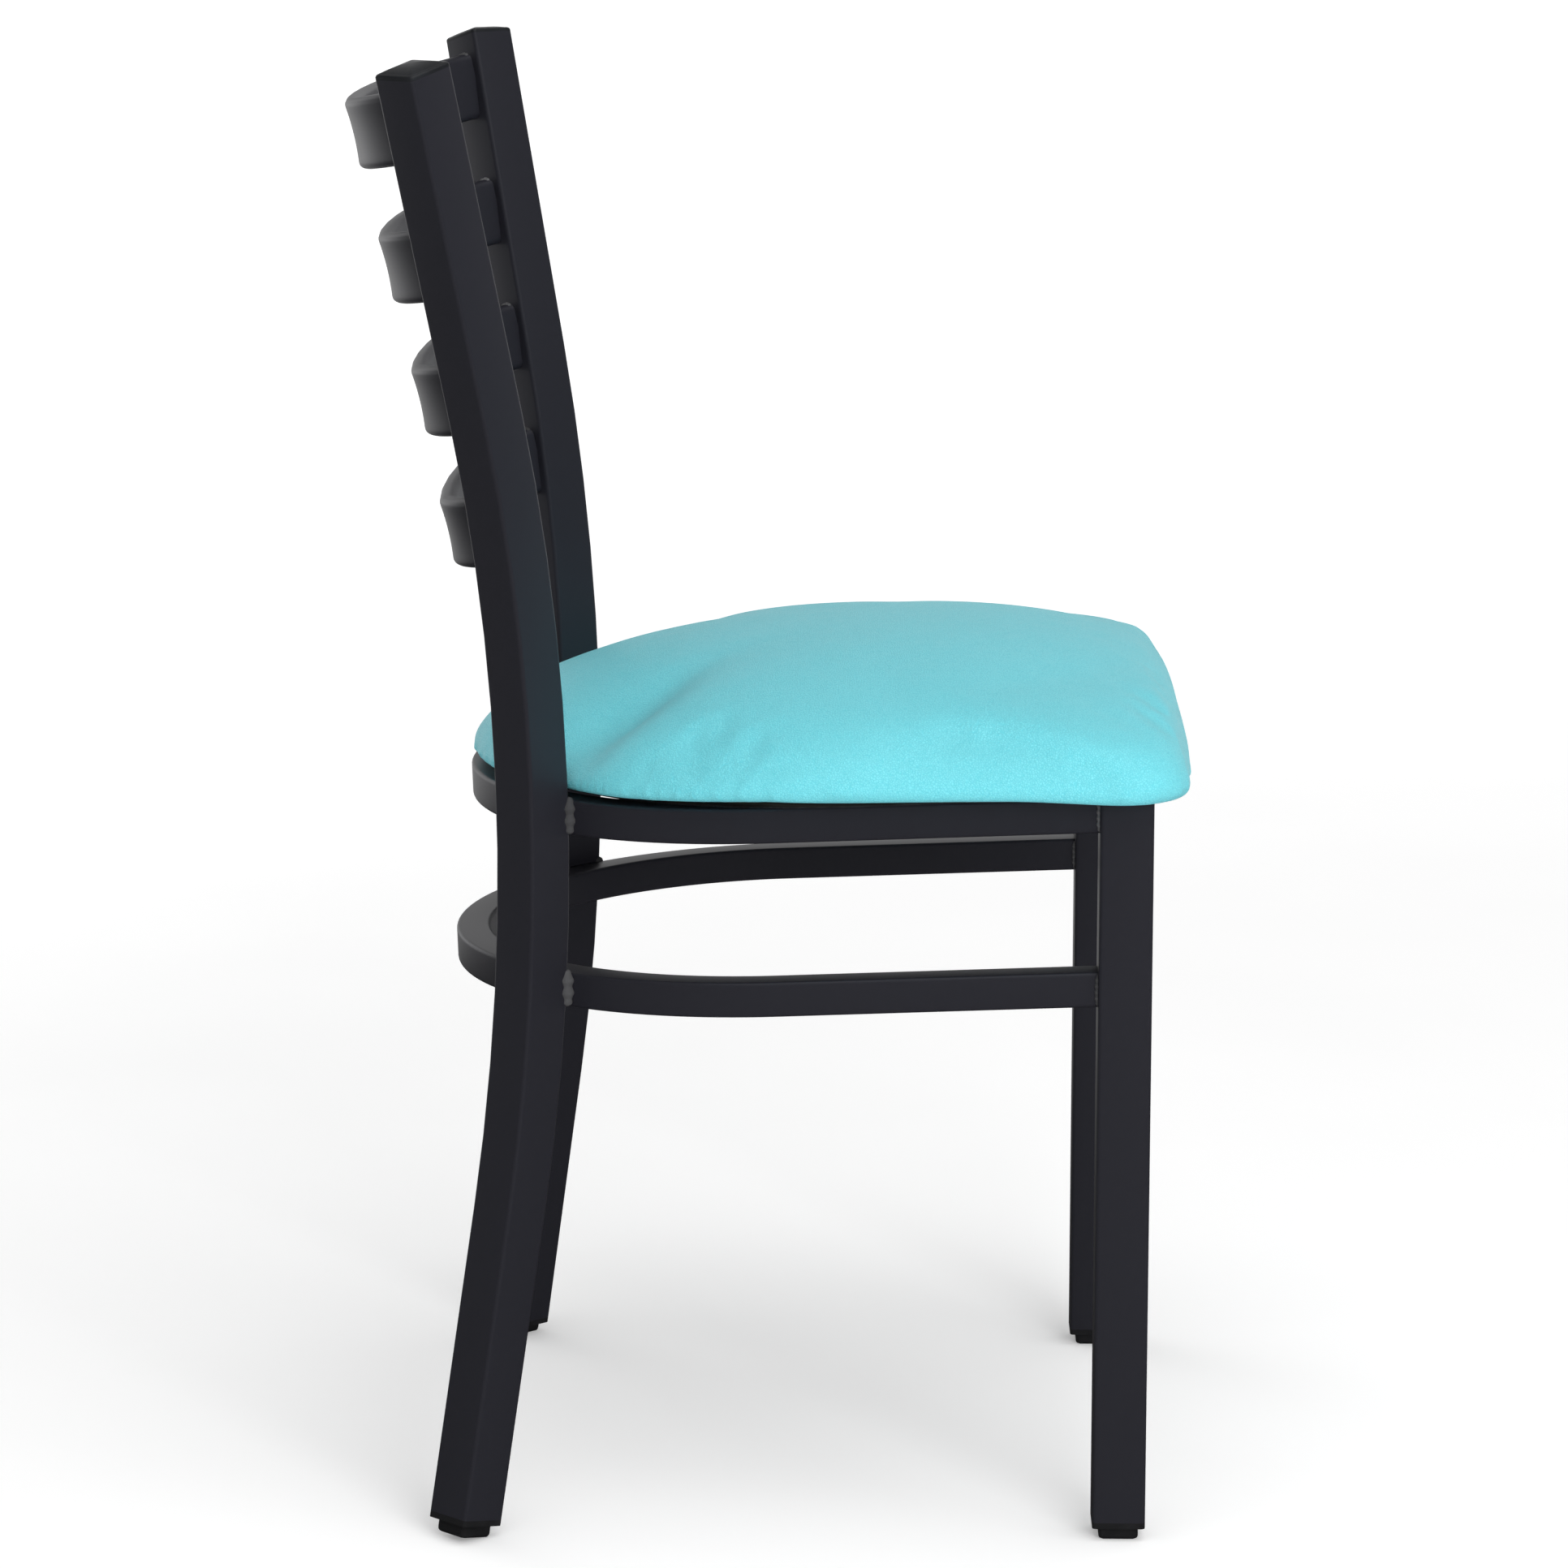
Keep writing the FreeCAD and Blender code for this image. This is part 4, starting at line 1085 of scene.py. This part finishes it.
class CHAIR_OT_tubes(bpy.types.Operator):
    """Sweep the posts, front legs and both horseshoe frames"""

    bl_idname = "chair.tubes"
    bl_label = "Tube frame"

    def execute(self, context):
        """Build each tube with truly round corners and paint it."""
        sizes, material = context.scene.chair_frame, paint(context.scene)
        pairs = {"rear_post": post_grid(sizes), "front_leg": leg_grid(sizes)}
        for name, grid in pairs.items():
            for side, side_grid in (("left", grid), ("right", mirrored(grid))):
                node = f"{name}_{side}"
                piece_from_grids(f"{node}_tube", [side_grid], material, [node])
        hoops = {
            "seat_frame_hoop": (sizes.seat_frame_top, sizes.seat_side_bend),
            "stretcher_hoop": (sizes.stretcher_top, sizes.stretcher_side_bend),
        }
        for node, (top, bend) in hoops.items():
            grid = hoop_grid(sizes, top, bend)
            piece_from_grids(f"{node}_tube", [grid], material, [node])
        dress(["seat_front_rail"], material)
        return {"FINISHED"}


class CHAIR_OT_slats(bpy.types.Operator):
    """Sweep the four bowed slats"""

    bl_idname = "chair.slats"
    bl_label = "Slats"

    def execute(self, context):
        """Build each slat with its rounded edges and dished face."""
        sizes, slats = context.scene.chair_frame, context.scene.chair_slats
        for place, node in enumerate(SLAT_NODES):
            grid = slat_grid(sizes, slats, slat_height(sizes, slats, place))
            piece_from_grids(f"{node}_bar", [grid], paint(context.scene), [node])
        return {"FINISHED"}


# Weld beads: the darker paint's share of the thin paint's colour, radii in metres and ripples
BEAD_DARK = 0.35
POST_BEAD, LEG_BEAD, SLAT_BEAD = 0.0046, 0.0020, 0.0020
POST_RIPPLES, LEG_RIPPLES, SLAT_RIPPLES = 3, 5, 2

# How much shorter than the tube the beads end below, how far those at the posts run past it on
# top, and how far they lie in from the post's edges, in metres
BEAD_SHORT, BEAD_PAST, BEAD_IN = 0.0010, 0.0025, 0.0012

# A slat's beads: how far they end short of its faces, lie in from its edges and stand off the post
SLAT_BEAD_SHORT, SLAT_BEAD_IN, SLAT_BEAD_OFF = 0.0015, 0.0008, 0.0005


def hoop_bead_grids(sizes, top):
    """Upright beads beside both posts and at both hoop ends, as on the frame.

    Each is a bead on a line about as long as the tube is high, set where the tube's faces meet
    the post's inner face or the leg's rear face. The left side's beads are mirrored.
    """
    out, side = post_directions(sizes)
    half_rail, half_post = sizes.rail_tube / 2, sizes.post_tube / 2
    lower, upper = UP * (half_rail - BEAD_SHORT), UP * (half_rail + BEAD_PAST)
    middle = plane_height(sizes, top, sizes.hoop_y + sizes.hoop_radius * out[1]) - half_rail
    face = post_centre(sizes, middle) - out * half_post
    leg_rear = leg_y(sizes) + half_post
    leg_middle = plane_height(sizes, top, leg_rear) - half_rail
    grids = []
    for sign in (-1, 1):
        corner = face + side * sign * (half_post - BEAD_IN)
        grids.append(bead_grid(corner - lower, corner + upper, POST_BEAD, POST_RIPPLES))
        corner = np.array((sizes.hoop_radius + sign * half_rail, leg_rear, leg_middle))
        grids.append(bead_grid(corner - lower, corner + lower, LEG_BEAD, LEG_RIPPLES))
    return grids + [mirrored(grid) for grid in grids]


def slat_bead_grids(sizes, slats):
    """Thin beads above and below each slat's ends, where they meet the posts.

    Each is a bead on a line across the slat's thickness, at its edge and just off the post.
    """
    grids = []
    for place in range(len(SLAT_NODES)):
        end, inwards, forwards = slat_frame(sizes, slats, slat_height(sizes, slats, place))
        upwards = np.cross(inwards, forwards)
        across = forwards * (slats.thick / 2 - SLAT_BEAD_SHORT)
        for sign in (-1, 1):
            corner = end + upwards * sign * (slats.height / 2 - SLAT_BEAD_IN) + inwards * SLAT_BEAD_OFF
            grids.append(bead_grid(corner - across, corner + across, SLAT_BEAD, SLAT_RIPPLES))
    return grids + [mirrored(grid) for grid in grids]


class CHAIR_OT_welds(bpy.types.Operator):
    """Lay rippled weld beads where the tubes meet"""

    bl_idname = "chair.welds"
    bl_label = "Weld beads"

    def execute(self, context):
        """Build the beads of the seat frame, the stretcher and the slats."""
        sizes, slats = context.scene.chair_frame, context.scene.chair_slats
        thin = context.scene.chair_colours.bead
        material = paint_material("bead_paint", tuple(BEAD_DARK * part for part in thin), thin)
        tops = {"seat_frame_welds": sizes.seat_frame_top, "stretcher_welds": sizes.stretcher_top}
        for node, top in tops.items():
            beads = hoop_bead_grids(sizes, top)
            piece_from_grids(f"{node}_beads", beads, material, [node], sharp=False)
        beads = slat_bead_grids(sizes, slats)
        piece_from_grids("slat_weld_beads", beads, material, sharp=False)
        return {"FINISHED"}


def ring_stack(rings, origin, up, side):
    """Rings of level points stood on an axis: x along the side, y across it and z along up."""
    across = np.cross(up, side)
    return origin + rings[..., :1] * side + rings[..., 1:2] * across + rings[..., 2:] * up


# The closed inner face of a cap or glide, and a cap's vault from its lip to its middle, as shares
# of the width, with the points round its lip and up its vault
INNER_FACE = 0.9
VAULT_FROM, VAULT_TO = 0.96, 0.02
LIP_POINTS, VAULT_POINTS = 6, 14


def cap_rings(sizes, rise, lip, edge):
    """A pillow cap: the tube's outline up a short lip, then drawn in over a shallow vault.

    The lip turns in by a quarter circle. From there, at a share s of its width, the vault's
    height is the rest times (1 - s squared), so four faces meet in soft diagonal ridges.
    """
    outline = post_outline(sizes)
    turn = np.linspace(0, math.pi / 2, LIP_POINTS)
    vault = np.linspace(VAULT_FROM, VAULT_TO, VAULT_POINTS)
    shoulder = 1 - edge / (sizes.post_tube / 2)
    bend = 1 - (1 - shoulder) * (1 - np.cos(turn))
    share = np.concatenate([(INNER_FACE, 1.0), bend, shoulder * vault])
    crown = lip + edge + (rise - lip - edge) * (1 - vault ** 2)
    height = np.concatenate([(0.0, 0.0), lip + edge * np.sin(turn), crown])
    rings = np.empty((len(share), len(outline), 3))
    rings[..., :2] = share[:, None, None] * outline
    rings[..., 2] = height[:, None]
    return rings


# The radius of a glide's smallest ring, in metres, and the points round its edge
GLIDE_MIDDLE = 0.0005
EDGE_POINTS = 7


def glide_rings(sizes, flange, disc, chamfer, step):
    """A glide: the tube's outline down a flange, then a round disc with a quarter-round edge.

    The edge's radius is the disc's less the chamfer times (1 - cos t), and its depth the disc's
    less the chamfer plus the chamfer times sin t.
    """
    outline = post_outline(sizes)
    radius = sizes.post_tube / 2 - step
    circle = outline / np.linalg.norm(outline, axis=1, keepdims=True)
    turn = np.linspace(0, math.pi / 2, EDGE_POINTS)
    radii = np.concatenate([[radius], radius - chamfer * (1 - np.cos(turn)), [GLIDE_MIDDLE]])
    edge = flange + disc - chamfer + chamfer * np.sin(turn)
    depth = np.concatenate([[0.0, 0.0, flange, flange], edge, [flange + disc]])
    flat = [outline * INNER_FACE, outline, outline] + [circle * each for each in radii]
    rings = np.empty((len(flat), len(outline), 3))
    rings[..., :2] = np.array(flat)
    rings[..., 2] = -depth[:, None]
    return rings[::-1]


class CHAIR_OT_plastics(bpy.types.Operator):
    """Build the caps in the posts and the glides in the feet"""

    bl_idname = "chair.plastics"
    bl_label = "Caps and glides"

    def execute(self, context):
        """Build each plastic end for the left side and mirror it."""
        sizes, colours = context.scene.chair_frame, context.scene.chair_colours
        cap = plastic_material("cap_plastic", tuple(colours.cap), roughness=0.42, grain=0.25)
        glide = plastic_material("glide_plastic", tuple(colours.glide), roughness=0.55, grain=0.35)
        side = post_directions(sizes)[1]
        up, down = post_direction(sizes, sizes.post_rake), post_direction(sizes, -sizes.post_kick)
        rear_foot, top = post_centre(sizes, sizes.post_foot), post_centre(sizes, sizes.post_top)
        front_foot = np.array((sizes.hoop_radius, leg_y(sizes), sizes.leg_foot))
        pillow = cap_rings(sizes, rise=0.0056, lip=0.0010, edge=0.0018)
        foot = glide_rings(sizes, flange=0.0035, disc=0.0075, chamfer=0.0026, step=0.0003)
        pieces = {
            "post_cap": (cap, "cap_plastic", ring_stack(pillow, top, up, side)),
            "rear_glide": (glide, "glide_plastic", ring_stack(foot, rear_foot, down, side)),
            "front_glide": (glide, "glide_plastic", ring_stack(foot, front_foot, UP, RIGHT)),
        }
        for name, (material, slot, grid) in pieces.items():
            grid[..., 2] = np.maximum(grid[..., 2], 0.0)
            for end, end_grid in (("left", grid), ("right", mirrored(grid))):
                node = f"{name}_{end}"
                piece_from_grids(f"{node}_moulding", [end_grid], material, [node])
        return {"FINISHED"}


class CHAIR_OT_underside(bpy.types.Operator):
    """Finish the board, dust cloth, tabs, screws and inserts under the seat"""

    bl_idname = "chair.underside"
    bl_label = "Underside"

    def execute(self, context):
        """Give the hidden pieces their finishes."""
        colours = context.scene.chair_colours
        dress(["seat_board"], board_material(colours))
        dress(["seat_dust_cover"], dust_cloth_material(colours))
        tabs = [f"seat_tab_{end}_{side}" for end in ("rear", "front") for side in ("left", "right")]
        dress(tabs, paint(context.scene))
        dress(["seat_screws", "board_inserts"], zinc_material(colours))
        return {"FINISHED"}


class CHAIR_OT_pad(bpy.types.Operator):
    """Build the crowned seat pad, let it swell as cloth and pull it in towards the posts"""

    bl_idname = "chair.pad"
    bl_label = "Seat pad"

    def execute(self, context):
        """Make the pad in one piece for the cover and the foam inside it."""
        sizes, pad = context.scene.chair_frame, context.scene.chair_pad
        material = vinyl_material(context.scene.chair_colours)
        piece = piece_from_grids("seat_pad", [pad_grid(pad, sizes)], material, sharp=False)
        modifier_applied(piece, "REMESH", mode="VOXEL", voxel_size=pad.voxel, use_smooth_shade=True)
        modifier_applied(piece, "SMOOTH", factor=0.5, iterations=2)
        swell(piece, pad, sizes)
        modifier_applied(piece, "SMOOTH", factor=0.5, iterations=2)
        modifier_applied(piece, "SUBSURF", levels=1, render_levels=1)
        pulled_to_posts(piece, pad, sizes)
        piece.data.materials.clear()
        piece.data.materials.append(material)
        piece.data.shade_smooth()
        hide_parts("seat_cover", "seat_foam")
        return {"FINISHED"}


OPERATORS = (
    CHAIR_OT_stage, CHAIR_OT_tubes, CHAIR_OT_slats, CHAIR_OT_welds,
    CHAIR_OT_plastics, CHAIR_OT_underside, CHAIR_OT_pad,
)
GROUPS = {
    "chair_frame": ChairFrameSizes,
    "chair_slats": ChairSlatSizes,
    "chair_pad": ChairPadSizes,
    "chair_colours": ChairColours,
    "chair_stage": ChairStage,
}


class CHAIR_PT_build(bpy.types.Panel):
    """Buttons that build the chair's pieces"""

    bl_idname = "CHAIR_PT_build"
    bl_label = "Ladderback chair"
    bl_space_type = "VIEW_3D"
    bl_region_type = "UI"
    bl_category = "Chair"

    def draw(self, context):
        """List one button for each group of pieces."""
        for operator in OPERATORS:
            self.layout.operator(operator.bl_idname)


def register():
    """Register the classes and hang their properties on the scene."""
    for item in (*GROUPS.values(), *OPERATORS, CHAIR_PT_build):
        bpy.utils.register_class(item)
    for name, group in GROUPS.items():
        setattr(bpy.types.Scene, name, bpy.props.PointerProperty(type=group))


def unregister():
    """Take the properties and classes away again."""
    for name in GROUPS:
        delattr(bpy.types.Scene, name)
    for item in reversed((*GROUPS.values(), *OPERATORS, CHAIR_PT_build)):
        bpy.utils.unregister_class(item)


def main():
    """Build every piece in order."""
    register()
    for operator in OPERATORS:
        group, name = operator.bl_idname.split(".")
        getattr(getattr(bpy.ops, group), name)()


if __name__ == "__main__":
    main()
